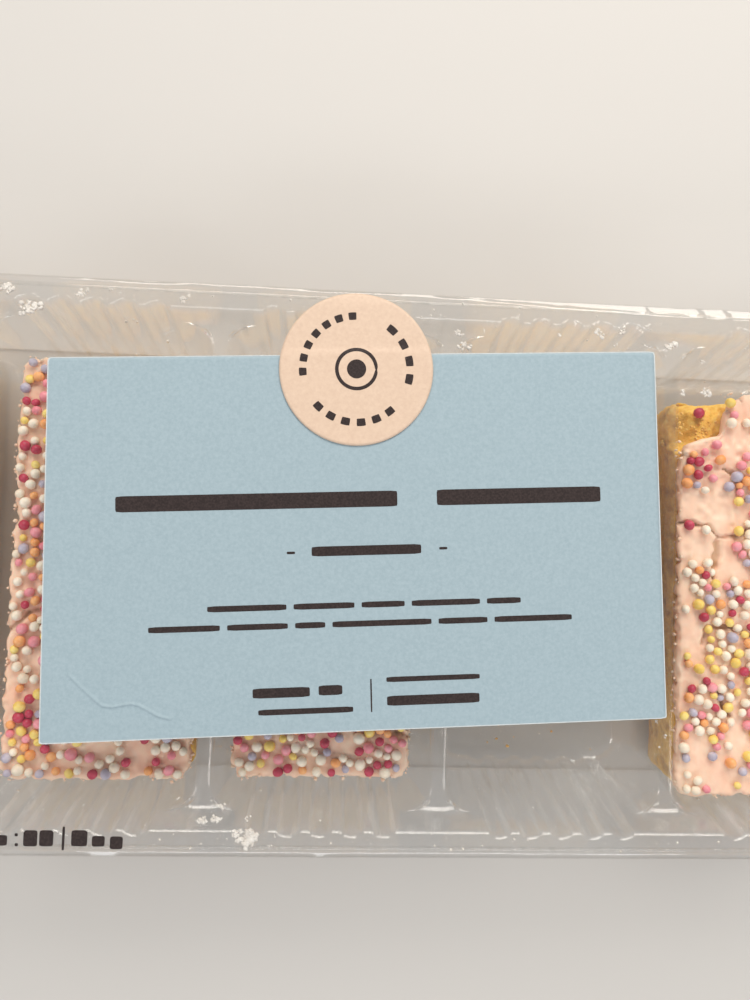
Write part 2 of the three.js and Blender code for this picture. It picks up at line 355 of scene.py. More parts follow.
def finish(tree, shader, colour, grain=None, strength=0.0, depth=0.0):
    """Gives a painted material its colour, and a bump of noise up to `depth` mm high."""
    tree.links.new(colour, shader.inputs["Base Color"])
    if grain:
        inputs = {"Height": speckle(tree, *grain), "Strength": strength, "Distance": depth * MM}
        tree.links.new(node(tree, "ShaderNodeBump", inputs).outputs["Normal"], shader.inputs["Normal"])


def coloured(name, values, spots, stops, *relief):
    """A painted material whose colour goes through the stops by one noise: spots is its scale,
    detail and roughness. relief is the grain, strength and depth of its bump, if it has one."""
    material, tree, shader = painted(name, values)
    finish(tree, shader, ramp(tree, speckle(tree, *spots), stops), *relief)
    return material


print("material helpers ready")

# %% Clear plastic
GRAZING_GLOSS = 0.65
FACING_POWER = 5.0
DUST = (0.9, 0.89, 0.87, 1)
SMEAR_EDGE = 0.2               # how softly a smear fades, in noise
SCUFF_AND_RIB_HIGHLIGHT_SHARE = 0.30            # dull share where the plastic is scuffed white, and of the painted highlight on the rib sides


def clear_plastic(name, tint, face_on, gloss_roughness, smear_low, smear_share, smear_scale):
    """Transparent plus Glossy by angle, and on them a dull smear wherever the noise passes
    smear_low, and the scuffs and painted rib highlights that the mesh stores."""
    material = bpy.data.materials.new(name)
    material.use_nodes = True
    tree = material.node_tree
    tree.nodes.remove(tree.nodes["Principled BSDF"])
    facing = node(tree, "ShaderNodeLayerWeight", {"Blend": 0.5}).outputs["Facing"]
    grazing = math(tree, "MULTIPLY", math(tree, "POWER", facing, FACING_POWER), GRAZING_GLOSS)
    gloss_share = math(tree, "ADD", grazing, face_on)
    through = node(tree, "ShaderNodeBsdfTransparent", {"Color": (*tint, 1)}).outputs[0]
    mirror = {"Color": (1, 1, 1, 1), "Roughness": gloss_roughness}
    gloss = node(tree, "ShaderNodeBsdfGlossy", mirror).outputs[0]
    clean = node(tree, "ShaderNodeMixShader", {"Fac": gloss_share, 1: through, 2: gloss}).outputs[0]
    spots = speckle(tree, smear_scale, 5.0, 0.65)
    mask = ramp(tree, spots, [(smear_low, 0.0), (smear_low + SMEAR_EDGE, 1.0)])
    smeared = math(tree, "MULTIPLY", mask, smear_share)
    # Scuffs and the painted highlight on the rib sides, as stored on the tray's points.
    scuffed_and_highlit = math(tree, "MULTIPLY", stored(tree, "scuff_and_rib_highlight"), SCUFF_AND_RIB_HIGHLIGHT_SHARE)
    dull = node(tree, "ShaderNodeBsdfDiffuse", {"Color": DUST}).outputs[0]
    whole = node(tree, "ShaderNodeMixShader", {"Fac": math(tree, "ADD", smeared, scuffed_and_highlit), 1: clean, 2: dull})
    tree.links.new(whole.outputs[0], tree.nodes["Material Output"].inputs["Surface"])
    return material


tray_plastic = clear_plastic("tray_plastic", tint=(0.982, 0.983, 0.980), face_on=0.040, gloss_roughness=0.045,
                             smear_low=0.62, smear_share=0.05, smear_scale=260)
film_plastic = clear_plastic("film_plastic", tint=(0.988, 0.988, 0.987), face_on=0.060, gloss_roughness=0.06,
                             smear_low=0.60, smear_share=0.05, smear_scale=120)
print("clear materials:", tray_plastic.name, film_plastic.name)

# %% [markdown]
# ## Tray
#
# The tray is one sheet drawn down from a flat flange. Think of each well as a bowl whose outline
# is a rounded oblong: rings of the same number of points climb from the middle of the floor over
# the floor's fillet and up the wall. At the shelf, the tops of the dividers, the rings of a long
# side roll over onto the divider, and those of a short end carry on up to the flange. A point of
# the outline is stored once, as a place on the inner oblong through the corner centres plus a
# direction, so the same outline can be asked for at any height and any distance outwards. Where
# a divider meets the end wall, the shelf turns up in a fillet, which catches the light. The end
# walls carry scuffs, and a painted highlight along the sides of their ribs; how much is stored at
# each point for the material.

# %% Tray sizes
WELLS = 5
WELL_PITCH = 48.0
tray_low, tray_high = box_mm("tray")
SHEET = 0.5
RIM_Z = tray_high[2]
FLOOR_Z = tray_low[2] + SHEET
SHELF_Z = RIM_Z - 7.0
MOUTH_Y = 50.5                 # half the mouth's width at the flange
END_DRAFT = 0.185
SIDE_DRAFT = 0.05
DIVIDER_HALF = 1.75
CORNER = 5.5
RIBS = 5
RIB_PITCH = 6.26
RIB_HALF = 2.2
RIB_DEPTH = 1.0
RIB_FULLNESS = 0.8             # below 1 the rib's crest is flat and its sides are steep
RIBS_AT_FLOOR = 0.3            # share of their depth that the ribs keep on the floor
FLANGE_CORNER = 7.0
LIP = 1.8
FLOOR_FILLET = 1.8
SHELF_FILLET = 1.0
FOOT_FILLET = 2.4
FOOT_REACH = (0.3, 0.7)        # the foot's fillet grows between these shares of the way to the divider
MOUTH_FILLET = 1.3
LIP_FILLET = 0.6
WELL_X = WELL_PITCH / 2 - DIVIDER_HALF
wells = (np.arange(WELLS) - (WELLS - 1) / 2) * WELL_PITCH


def wall_y(z):
    return MOUTH_Y - (RIM_Z - z) * END_DRAFT


def wall_x(z):
    return WELL_X - (SHELF_Z - z) * SIDE_DRAFT


shelf_y = wall_y(SHELF_Z)
corner_x = WELL_X - CORNER
corner_y = shelf_y - CORNER
print("rim at", round(RIM_Z, 2), "shelf at", SHELF_Z, "floor at", round(FLOOR_Z, 2))

# %% Tray outline
# Quarter arcs break at the angle whose ray meets the crossing of divider and end wall.
BREAK = np.arctan2(shelf_y - FOOT_FILLET - corner_y, WELL_PITCH / 2 - corner_x)
ARC = np.concatenate([np.linspace(0, BREAK, 5)[:-1], np.linspace(BREAK, np.pi / 2, 7)])
SIDE_STEPS = 14
END_STEPS = 85


def nearest_rib(x):
    """Middle of the rib nearest to each place along an end wall."""
    return np.clip(np.round(x / RIB_PITCH), -(RIBS // 2), RIBS // 2) * RIB_PITCH


def well_outline():
    """Inner place (bx, by) in -1..1, direction (nx, ny) and rib bulge of each point of a well's
    outline, anticlockwise from the right side's lower end."""
    side = np.linspace(-1, 1, SIDE_STEPS + 1)[1:-1]
    end = np.linspace(1, -1, END_STEPS + 1)[1:-1]
    off_rib = end * corner_x - nearest_rib(end * corner_x)
    bulge = np.cos(np.clip(off_rib / RIB_HALF, -1, 1) * np.pi / 2) ** RIB_FULLNESS
    none, one = np.zeros_like, np.ones_like
    quarter = np.stack([one(ARC), one(ARC), np.cos(ARC), np.sin(ARC), none(ARC)])
    right = np.stack([one(side), side, one(side), none(side), none(side)])
    top = np.stack([end, one(end), none(end), one(end), bulge])
    flip_x, flip_y = np.array([-1, 1, -1, 1, 1.0])[:, None], np.array([1, -1, 1, -1, 1.0])[:, None]
    upper = np.concatenate([quarter, top, (quarter * flip_x)[:, ::-1]], axis=1)
    lower = upper * flip_x * flip_y
    return np.concatenate([right, upper, right * flip_x * flip_y, lower], axis=1)


outline = well_outline()
inner_x, inner_y, toward_x, toward_y, bulge = outline
is_arc = (np.abs(inner_x) == 1) & (np.abs(inner_y) == 1)
arc_angle = np.arctan2(np.abs(toward_y), np.abs(toward_x))
is_side = (np.abs(inner_x) == 1) & ~is_arc
print("points round one well:", outline.shape[1])

# %% Rings of a well
def rounded(half_x, half_y, corner, out, ribs=1.0):
    """The outline with these half sizes and corner radius, `out` mm further outwards."""
    x = inner_x * (half_x - corner) + toward_x * (corner + out)
    y = inner_y * (half_y - corner) + toward_y * (corner + out + RIB_DEPTH * bulge * ribs)
    return x, y


def well_rings(open_x):
    """Rings from the middle of the floor to the shelf's rounded edge. open_x is +1 or -1 on the
    side where the row ends, and 0 for a well between two dividers."""
    rolls = np.where(is_side, 1.0, np.where(is_arc, np.cos(arc_angle) ** 2, 0.0))
    rolls = np.where((open_x != 0) & (np.sign(inner_x) == open_x), 0.0, rolls)
    rings = []
    foot_x, foot_y = rounded(wall_x(FLOOR_Z), wall_y(FLOOR_Z), CORNER, -FLOOR_FILLET, RIBS_AT_FLOOR)
    for share in (0.0, 0.22, 0.45, 0.66, 0.84, 0.95):
        rings.append((foot_x * share, foot_y * share, np.full_like(foot_x, FLOOR_Z)))
    for turn in np.linspace(0, np.pi / 2, 6):
        z = FLOOR_Z + FLOOR_FILLET * (1 - np.cos(turn))
        out, ribs = FLOOR_FILLET * (np.sin(turn) - 1), RIBS_AT_FLOOR + (1 - RIBS_AT_FLOOR) * np.sin(turn)
        x, y = rounded(wall_x(z), wall_y(z), CORNER, out, ribs)
        rings.append((x, y, np.full_like(x, z)))
    for z in np.linspace(FLOOR_Z + FLOOR_FILLET, SHELF_Z - SHELF_FILLET, 12)[1:-1]:
        x, y = rounded(wall_x(z), wall_y(z), CORNER, 0)
        rings.append((x, y, np.full_like(x, z)))
    radius = SHELF_FILLET * rolls
    for share in np.linspace(0, 1, 6):
        turn = share * np.pi / 2
        z = SHELF_Z - SHELF_FILLET + (SHELF_FILLET - radius) * share + radius * np.sin(turn)
        x, y = rounded(wall_x(SHELF_Z), wall_y(z), CORNER, radius * (1 - np.cos(turn)))
        rings.append((x, y, z))
    return rings


print("rings in a well:", len(well_rings(0)))

# %% Shelf and end walls
def shelf_edge(open_x):
    """Where the shelf ends: the middle of a divider, or the foot of the end wall. Also the radius
    of the fillet at that foot, which points go on up the end wall and which lie by a divider."""
    x, y = rounded(wall_x(SHELF_Z), shelf_y, CORNER, 0)
    divided = (open_x == 0) | (np.sign(inner_x) != open_x)
    side = is_side & divided
    arc = is_arc & divided
    across = np.clip((np.pi / 2 - arc_angle) / (np.pi / 2 - BREAK), 0, 1)
    reach = np.where(arc, across, 0.0)
    foot = FOOT_FILLET * smooth_step(reach, *FOOT_REACH)
    half = WELL_PITCH / 2
    early = arc & (arc_angle < BREAK)
    x = np.where(arc, np.sign(inner_x) * (corner_x + (half - corner_x) * reach), x)
    y_late = np.sign(inner_y) * (shelf_y - foot)
    y_early = np.sign(inner_y) * (corner_y + (half - corner_x) * np.tan(np.minimum(arc_angle, BREAK)))
    y = np.where(early, y_early, np.where(arc, y_late, y))
    x = np.where(side, np.sign(inner_x) * half, x)
    y = np.where(side, inner_y * corner_y, y)
    climbs = ~side & ~early
    return x, y, foot, climbs, divided


def end_strip(open_x, edge_x, foot, divided):
    """Rings above the shelf: fillet at the foot, end wall, rounded mouth, flange and lip."""
    opens = (np.sign(inner_x) == open_x) & (open_x != 0)
    on_divider = is_arc & divided
    far = np.where(opens, tray_high[0] - wells[-1], wall_x(SHELF_Z) - CORNER + FLANGE_CORNER) - FLANGE_CORNER
    far_x = inner_x * far + toward_x * (FLANGE_CORNER - LIP_FILLET)
    far_y = inner_y * (tray_high[1] - FLANGE_CORNER) + toward_y * (FLANGE_CORNER - LIP_FILLET)
    far_x = np.where(on_divider, edge_x, far_x)
    far_y = np.where(on_divider, np.sign(inner_y) * (tray_high[1] - LIP_FILLET), far_y)
    rings = []

    def add_ring(z, out, share=0.0):
        """At share 0 the wall's own outline `out` mm outwards, at share 1 the flange's outline."""
        half = np.where(opens, wall_x(z), wall_x(SHELF_Z))
        x = inner_x * (half - CORNER) + toward_x * (CORNER + out)
        y = inner_y * (wall_y(z) - CORNER) + toward_y * (CORNER + out + RIB_DEPTH * bulge)
        x = np.where(on_divider, edge_x, x)
        y = np.where(on_divider, np.sign(inner_y) * (wall_y(z) + out), y)
        rings.append((x + (far_x - x) * share, y + (far_y - y) * share, np.broadcast_to(z, x.shape)))

    for share in np.linspace(0, 1, 6):
        turn = share * np.pi / 2
        rise = (FOOT_FILLET - foot) * share + foot * (1 - np.cos(turn))
        add_ring(SHELF_Z + rise, -foot * (1 - np.sin(turn)))
    for z in np.linspace(SHELF_Z + FOOT_FILLET, RIM_Z - MOUTH_FILLET, 5)[1:-1]:
        add_ring(z, 0.0)
    for turn in np.linspace(0, np.pi / 2, 7):
        add_ring(RIM_Z - MOUTH_FILLET * (1 - np.sin(turn)), MOUTH_FILLET * (1 - np.cos(turn)))
    for share in (0.3, 0.65, 1.0):
        add_ring(RIM_Z, MOUTH_FILLET, share)
    straight = divided | ~(is_side | is_arc)
    out_x, out_y = np.where(straight, 0, toward_x), np.where(straight, np.sign(inner_y), toward_y)
    for turn in np.linspace(0, np.pi / 2, 5)[1:]:
        reach = LIP_FILLET * np.sin(turn)
        z = RIM_Z - LIP_FILLET * (1 - np.cos(turn))
        rings.append((far_x + out_x * reach, far_y + out_y * reach, np.full_like(far_x, z)))
    x, y, _ = rings[-1]
    rings.append((x, y, np.full_like(x, RIM_Z - LIP)))
    return rings


print("points that go on up the end walls:", int(shelf_edge(0)[3].sum()))

# %% Tray surface
def runs(mask):
    """The stretches of neighbouring points for which mask is true, round the closed outline."""
    shift = int(np.argmin(mask))
    order = np.roll(np.arange(len(mask)), -shift)
    edges = np.flatnonzero(np.diff(np.concatenate([[0], mask[order].astype(int), [0]])))
    return [order[a:b] for a, b in zip(edges[::2], edges[1::2])]


def make_tray():
    """All wells side by side, with their shelf, end walls and flange, welded into one sheet."""
    grids = []
    for number, middle in enumerate(wells):
        open_x = {0: -1, WELLS - 1: 1}.get(number, 0)
        rings = well_rings(open_x)
        x, y, foot, climbs, divided = shelf_edge(open_x)
        rings.append((x, y, np.full_like(x, SHELF_Z)))
        strip = end_strip(open_x, x, foot, divided)
        for stack, columns in [(rings, None)] + [(strip, run) for run in runs(climbs)]:
            points = np.stack([np.stack(ring, axis=-1) for ring in stack])
            points[..., 0] += middle
            if columns is not None:
                points = points[:, columns]
            faces = grid_faces(points.shape[0], points.shape[1], wrap=columns is None)
            grids.append((points, faces[:, ::-1]))
    points, quads = gather(grids)
    return weld(points, quads)


tray_points, tray_faces = make_tray()
tray = add_piece("tray_sheet", tray_points, tray_faces, tray_plastic, ["tray"])
thicken(tray, SHEET)

# %% Scuffs and painted rib highlights on the end walls
RIB_HIGHLIGHT_WIDTH = 0.4              # of the painted highlight lines on the ribs' sides
RIB_HIGHLIGHT_AT = 0.8                 # where they run, as a share of the rib's half width


def end_wall_scuffs_and_rib_highlight(points):
    """0 to 1 on the end walls and 0 elsewhere: a bell across each side of each rib for a painted
    highlight there, plus upright streaks of noise for scuffs, drawn out along the height, both in patches."""
    x, y, z = points.T
    x = x - wells[np.abs(x[:, None] - wells).argmin(axis=1)]
    # Painted highlight: a pale line along each side of each rib.
    rib_highlight = np.exp(-(((np.abs(x - nearest_rib(x)) - RIB_HIGHLIGHT_AT * RIB_HALF) / RIB_HIGHLIGHT_WIDTH) ** 2))
    streaks = smooth_step(flat_noise(points[:, 0], 0.12 * z, 0.9, 61), 0.2, 0.9)
    patches = 0.55 + 0.45 * flat_noise(points[:, 0], z, 6, 62)
    over_floor = smooth_step(z, FLOOR_Z + 0.5, FLOOR_Z + 3.5)
    under_rim = 1 - smooth_step(z, RIM_Z - 1.0, RIM_Z)
    on_wall = smooth_step(np.abs(y), 43, 45) * over_floor * under_rim
    return on_wall * (0.5 * rib_highlight + 0.55 * streaks) * patches


# The material makes these values dull white: scuffs and a painted rib highlight.
keep_values(tray, "scuff_and_rib_highlight", end_wall_scuffs_and_rib_highlight(tray_points))

# %% [markdown]
# ## Film
#
# The film is a sleeve. Its section across the pack is a loop of four stretches: the underside,
# one side, the top and the other side. Along the pack the loop stays the same over the tray, and
# past it the loop is pressed flat to the crimp, while the middle of each side tucks inwards, as
# the side of a paper bag does, so that no film is stretched. Wrinkles are added to the height of
# the top: a folded band along the far edge that widens to the right, a few pinches across it,
# faint waves, and pleats that run from the tray's ends into the crimps.

# %% Film sizes
film_low, film_high = box_mm("film")
FILM_TOP = film_high[2] - 0.05
FILM_Y = film_high[1]
BASE_Y = 47.8                  # half width of the flat underside
FOLD_Z = 28.0
BAND_SLOPE = 0.30              # tips the main box's image into the camera
END_X = film_high[0]
CRIMP_LENGTH = 12.0
CRIMP_X = END_X - CRIMP_LENGTH
TAPER = 13.0
SHOULDER_X = CRIMP_X - TAPER
HEEL_X = SHOULDER_X - TAPER / 3
CRIMP_Z = 15.6
CRIMP_Y = 54.5
CRIMP_PITCH = 1.5
TOOTH = 0.9
TOOTH_PITCH = 2.4
TUCK = 14.0
PINCHES = [
    # both ends as picture pixels on the film's top, width in mm, height in mm
    ((640, 302), (650, 322), 0.5, 0.30),
    ((694, 303), (700, 322), 0.7, 0.45),
    ((720, 306), (727, 320), 0.5, 0.35),
    ((505, 297), (512, 305), 0.35, 0.18),
    ((470, 296), (462, 312), 0.3, 0.15),
    ((118, 288), (128, 283), 0.35, 0.18),
    ((278, 318), (287, 348), 0.35, 0.22),
    ((100, 290), (430, 294), 0.30, 0.12),
    ((215, 287), (222, 290), 0.4, 0.2),
]
pinch_lines = [(*seen_at([a, b], FILM_TOP), width, height) for a, b, width, height in PINCHES]
print("film from", film_low.round(1), "to", film_high.round(1))

# %% Film wrinkles
def edge_band(x):
    """Width of the tilted band along the far edge: 0.7 mm, and up to 2.4 mm at the right."""
    return 0.7 + 1.7 * smooth_step(x, 5, 75) + 0.25 * flat_noise(x, 0 * x, 9, 41)


def film_relief(x, y):
    """Height over the film's flat top in mm: faint waves, minus the drop of the tilted band
    between its fold and the edge, plus a crest on the fold and the pinches across it."""
    inside = 1 - smooth_step(np.abs(x), SHOULDER_X - 8, SHOULDER_X)
    waves = 0.10 * flat_noise(x, 0.6 * y, 13, 3) + 0.05 * flat_noise(x + 0.5 * y, y, 5, 4)
    band = edge_band(x)
    past = y - (FILM_Y - band)
    crumple = 1 + 0.2 * flat_noise(x, 0 * x, 2.6, 42)
    fall = BAND_SLOPE * np.clip(past, 0, None) * crumple
    crest = 0.16 * np.exp(-((past / 0.5) ** 2)) * (1 + 0.4 * flat_noise(x, y, 3, 43))
    streaks = 0.05 * flat_noise(0.2 * x, y, 0.8, 45) + 0.06 * flat_noise(x + y, 0.5 * y, 1.7, 46)
    streaks = streaks * smooth_step(past, -1.0, 0.3)
    near_past = -y - (FILM_Y - 1.2)
    near_fall = 0.35 * np.clip(near_past, 0, None) * (1 + 0.3 * flat_noise(x, 0 * x, 6, 44))
    height = waves - fall + crest - near_fall + streaks - 0.14
    for start, end, width, rise in pinch_lines:
        height = height + rise * ridge(x, y, start, end, width)
    return height * inside


print("widest band in mm:", edge_band(np.linspace(-100, 100, 201)).max().round(2))

# %% Film section
def film_section(x, part, share):
    """Points of one stretch of the loop at the places x along the pack. share runs 0..1 along the
    stretch, anticlockwise seen from +X: underside, far side, top, near side."""
    away = np.abs(x)
    rise = np.clip((away - HEEL_X) / (CRIMP_X - HEEL_X), 0, 1)
    drop = np.clip((away - SHOULDER_X) / (CRIMP_X - SHOULDER_X), 0, 1)
    flat = smooth_step(away, SHOULDER_X - 2, CRIMP_X)
    layer = np.where(away >= END_X - 0.01, 0.0, 0.12)
    low = rise * (CRIMP_Z - layer)
    high = FILM_TOP + drop * (CRIMP_Z + layer - FILM_TOP)
    base_y = BASE_Y + flat * (CRIMP_Y - BASE_Y)
    top_y = FILM_Y - 0.05 + flat * (CRIMP_Y - FILM_Y)
    in_crimp = (away >= CRIMP_X) & (away < END_X - 0.01)
    ribs = np.where(in_crimp, 0.16 * np.sin((away - CRIMP_X) * 2 * np.pi / CRIMP_PITCH), 0)
    swell = 4 * drop * (1 - drop)
    if part in ("underside", "top"):
        y = (2 * share - 1) * (base_y if part == "underside" else -top_y)
        pleats = flat_noise(0.12 * x, y, 5.5, 7 if part == "top" else 8)
        pleats = (0.5 - np.abs(pleats)) * 1.5 * swell
        if part == "underside":
            return y, low + ribs - 0.35 * np.abs(pleats) * (low > 1)
        return y, high + ribs + pleats + film_relief(x, y)
    sign = 1 if part == "far side" else -1
    up = share if part == "far side" else 1 - share
    lean = np.clip(up * FILM_TOP / FOLD_Z, 0, 1)
    body_y = BASE_Y + (FILM_Y - 0.05 - BASE_Y) * lean
    side_y = body_y + flat * (CRIMP_Y - body_y)
    tuck = flat * TUCK * (1 - np.abs(2 * up - 1))
    body_waves = 0.35 * flat_noise(0.7 * x, up * 31 + 90 * sign, 8, 9) * np.sin(np.pi * up) * (1 - flat)
    top_edge = film_relief(x, sign * top_y)
    z = low + (high + top_edge * smooth_step(up, 0.7, 1.0) - low) * up
    return sign * (side_y - tuck - 0.4 * np.sin(np.pi * up) * (1 - flat) + body_waves * 0.6), z + ribs


print("top at the middle in mm:", film_section(np.zeros(1), "top", np.full(1, 0.5))[1].round(2))

# %% Film sleeve
def film_places():
    """Places along the pack: a millimetre apart over the tray and six to a ridge in the crimp."""
    over = np.linspace(0, SHOULDER_X, 128)[:-1]
    taper = np.linspace(SHOULDER_X, CRIMP_X, 18)[:-1]
    crimp = np.linspace(CRIMP_X, END_X - 1.0, 46)
    half = np.concatenate([over, taper, crimp, [END_X - 0.5, END_X]])
    return np.concatenate([-half[:0:-1], half])


def make_film():
    """The loop at each place along the pack; the two ends are pressed to nothing and so closed."""
    x = film_places()[:, None]
    across = np.concatenate([np.linspace(-1, -0.93, 18)[:-1], np.linspace(-0.93, 0.88, 62)[:-1],
                             np.linspace(0.88, 1, 30)]) / 2 + 0.5
    up = np.linspace(0, 1, 15)
    loop = []
    parts = {"underside": across, "far side": up, "top": 1 - across[::-1], "near side": up}
    for part, share in parts.items():
        places, shares = np.broadcast_arrays(x, share[:-1])
        y, z = film_section(places, part, shares)
        teeth = TOOTH * np.abs((y / TOOTH_PITCH) % 1 - 0.5) * 2
        end = np.abs(places) > END_X - 0.7
        loop.append(np.stack([np.where(end, places - np.sign(places) * teeth, places), y, z], axis=-1))
    points = np.concatenate(loop, axis=1)
    faces = grid_faces(points.shape[0], points.shape[1], wrap=True)
    return weld(points.reshape(-1, 3), faces[:, ::-1])


film_points, film_faces = make_film()
add_piece("film_sleeve", film_points, film_faces, film_plastic, ["film"])
print("film faces:", [len(f) for f in film_faces])

# %% [markdown]
# ## Label
#
# The label is an oblong of pale blue paper stuck on the film, not quite square-cut, with one
# crease near its lower left corner and a few faint wrinkles. Its outline and those of the printed
# marks come from one function: an oblong grid whose corners are drawn in to quarter circles. The
# grid is closer where the crease runs. The print is bars and rows of bars. They are thin patches
# of ink two hundredths of a millimetre over the paper, so that their edges stay sharp. All round,
# a narrow strip of bare paper shows where the blue sheet was cut.

# %% Paper shapes
PAPER = 0.2
PAPER_GRAIN = (1500, 3.0, 0.6)
label_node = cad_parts["label"].data
label_all = np.array([v.co for v in label_node.vertices]) / MM
LABEL_TOP = label_all[:, 2].max() - 0.06
sides = np.sign(label_all[:, :2] - label_all[:, :2].mean(axis=0))
LABEL_CORNERS = np.array([label_all[(sides == s).all(axis=1), :2].mean(axis=0)
                          for s in ((-1, -1), (1, -1), (1, 1), (-1, 1))])
CREASE = [(69, 675), (81, 687), (95, 700), (103, 706), (112, 707), (122, 705), (132, 703.5), (140, 706),
          (148, 710), (158, 716), (170, 719)]
FAINT_WRINKLES = [((58, 588), (84, 594)), ((80, 600), (112, 609)), ((62, 640), (78, 646)),
                  ((60, 560), (92, 571)), ((88, 618), (104, 628)), ((176, 722), (186, 731))]
CREASE_WIDTH, CREASE_RISE = 0.24, 0.22
WRINKLE_WIDTH, WRINKLE_RISE = 0.5, 0.035
FINE_UP_TO = -0.54             # the grid is closer up to here, on a scale of -1 to 1 across the label
LABEL_ROUNDING = 0.012         # of its corners, on the same scale
crease_line = seen_at(CREASE, LABEL_TOP)
faint_lines = [seen_at(pair, LABEL_TOP) for pair in FAINT_WRINKLES]


def rounded_grid(half_x, half_y, corner, across, up):
    """Plan of an oblong grid with rounded corners. In each corner square the point (a, b) moves to
    (a sqrt(1 - b^2/2), b sqrt(1 - a^2/2)), which turns the square into a quarter disc."""
    x, y = np.meshgrid(np.asarray(across) * half_x, np.asarray(up) * half_y)
    a = np.clip((np.abs(x) - half_x + corner) / corner, 0, 1)
    b = np.clip((np.abs(y) - half_y + corner) / corner, 0, 1)
    shift_x = corner * a * (np.sqrt(1 - b * b / 2) - 1)
    shift_y = corner * b * (np.sqrt(1 - a * a / 2) - 1)
    return x + np.sign(x) * shift_x, y + np.sign(y) * shift_y


def on_label(across, up):
    """Plan point of the label at shares 0..1 of its width and height: the mean of its corners,
    weighted by how near each is."""
    across, up = np.broadcast_arrays(across, up)
    weights = np.stack([(1 - across) * (1 - up), across * (1 - up), across * up, (1 - across) * up], axis=-1)
    return weights @ LABEL_CORNERS


def label_relief(x, y):
    """Height in mm of the paper over its flat place: the crease, faint wrinkles and a slow wave."""
    height = 0.025 * flat_noise(x, y, 16, 11) + 0.006 * flat_noise(x, y, 2.5, 12)
    crease = np.zeros_like(height)
    for start, end in zip(crease_line[:-1], crease_line[1:]):
        crease = np.maximum(crease, ridge(x, y, start, end, CREASE_WIDTH))
    for start, end in faint_lines:
        height = height + WRINKLE_RISE * ridge(x, y, start, end, WRINKLE_WIDTH)
    return height + CREASE_RISE * crease


print("crease in mm:", crease_line[:, :2].round(1).tolist())

# %% Label paper
paper_blue = coloured("paper_blue", {"Roughness": 0.62, "Specular IOR Level": 0.35}, PAPER_GRAIN,
                      [(0.3, (0.300, 0.390, 0.432)), (0.7, (0.348, 0.442, 0.485))], PAPER_GRAIN, 0.35, 0.03)

fine = np.concatenate([np.linspace(-1, FINE_UP_TO, 100)[:-1], np.linspace(FINE_UP_TO, 1, 84)])
label_x, label_y = rounded_grid(1, 1, LABEL_ROUNDING, fine, fine)
label_plan = on_label(label_x / 2 + 0.5, label_y / 2 + 0.5)
label_z = LABEL_TOP + label_relief(label_plan[..., 0], label_plan[..., 1])
label_points = np.concatenate([label_plan, label_z[..., None]], axis=-1).reshape(-1, 3)
label = add_piece("label_paper", label_points, [grid_faces(*label_z.shape)], paper_blue, ["label"])
thicken(label, PAPER)
print("label corners in mm:", LABEL_CORNERS.round(1).tolist())

# %% Bars on the label
INK_LIFT = 0.02
INK_CORNER = 0.4
INK_STEP = 1.2
BARE_EDGE = 0.22               # width of the cut edge that shows white
BARS = [
    # middle across and down the label as shares, length and height in mm
    (0.336, 0.389, 54.5, 3.1),
    (0.763, 0.389, 33.0, 3.1),
    (0.389, 0.527, 1.6, 0.5),
    (0.511, 0.525, 21.5, 1.9),
    (0.636, 0.525, 1.6, 0.5),
    (0.374, 0.892, 11.0, 1.9),
    (0.452, 0.890, 4.6, 1.9),
    (0.413, 0.942, 18.3, 1.1),
    (0.517, 0.908, 0.3, 6.4),
    (0.617, 0.868, 18.4, 1.0),
    (0.617, 0.924, 18.2, 1.9),
]
BAR_ROWS = [
    # first and last place across, place down, and the bars' lengths in proportion
    (0.257, 0.762, 0.669, (9, 7, 5, 8, 4)),
    (0.165, 0.846, 0.7185, (7, 6, 3, 10, 5, 8)),
]
ROW_HEIGHT = 1.15
ROW_SPACE = 0.012

ink = coloured("ink", {"Roughness": 0.55, "Specular IOR Level": 0.3}, (2500,),
               [(0.35, (0.022, 0.014, 0.013)), (0.75, (0.045, 0.030, 0.028))])
low_edge, high_edge = LABEL_CORNERS[1] - LABEL_CORNERS[0], LABEL_CORNERS[2] - LABEL_CORNERS[3]
label_length = np.hypot(*low_edge)


def all_bars():
    """The listed bars and those of each row, with equal spaces between them."""
    bars = list(BARS)
    for first, last, down, lengths in BAR_ROWS:
        room = last - first - ROW_SPACE * (len(lengths) - 1)
        at = first
        for length in lengths:
            share = room * length / sum(lengths)
            bars.append((at + share / 2, down, share * label_length, ROW_HEIGHT))
            at += share + ROW_SPACE
    return bars


print("bars in rows:", len(all_bars()) - len(BARS))

# %% Label print
def ink_patch(middle, turn, length, height, surface):
    """A round-cornered bar turned by `turn`, laid on the height function `surface`."""
    across, up = np.linspace(-1, 1, max(6, int(length / INK_STEP))), np.linspace(-1, 1, 7)
    x, y = rounded_grid(length / 2, height / 2, min(0.3 * min(length, height), INK_CORNER), across, up)
    plan_x = middle[0] + x * np.cos(turn) - y * np.sin(turn)
    plan_y = middle[1] + x * np.sin(turn) + y * np.cos(turn)
    return np.stack([plan_x, plan_y, surface(plan_x, plan_y) + INK_LIFT], axis=-1), grid_faces(*x.shape)


def label_surface(x, y):
    return LABEL_TOP + label_relief(x, y)


patches = []
for across, down, length, height in all_bars():
    along = low_edge * down + high_edge * (1 - down)
    turn = np.arctan2(along[1], along[0])
    patches.append(ink_patch(on_label(across, 1 - down), turn, length, height, label_surface))
points, faces = gather(patches)
add_piece("label_print", points, [faces], ink)
print("bars on the label:", len(patches))

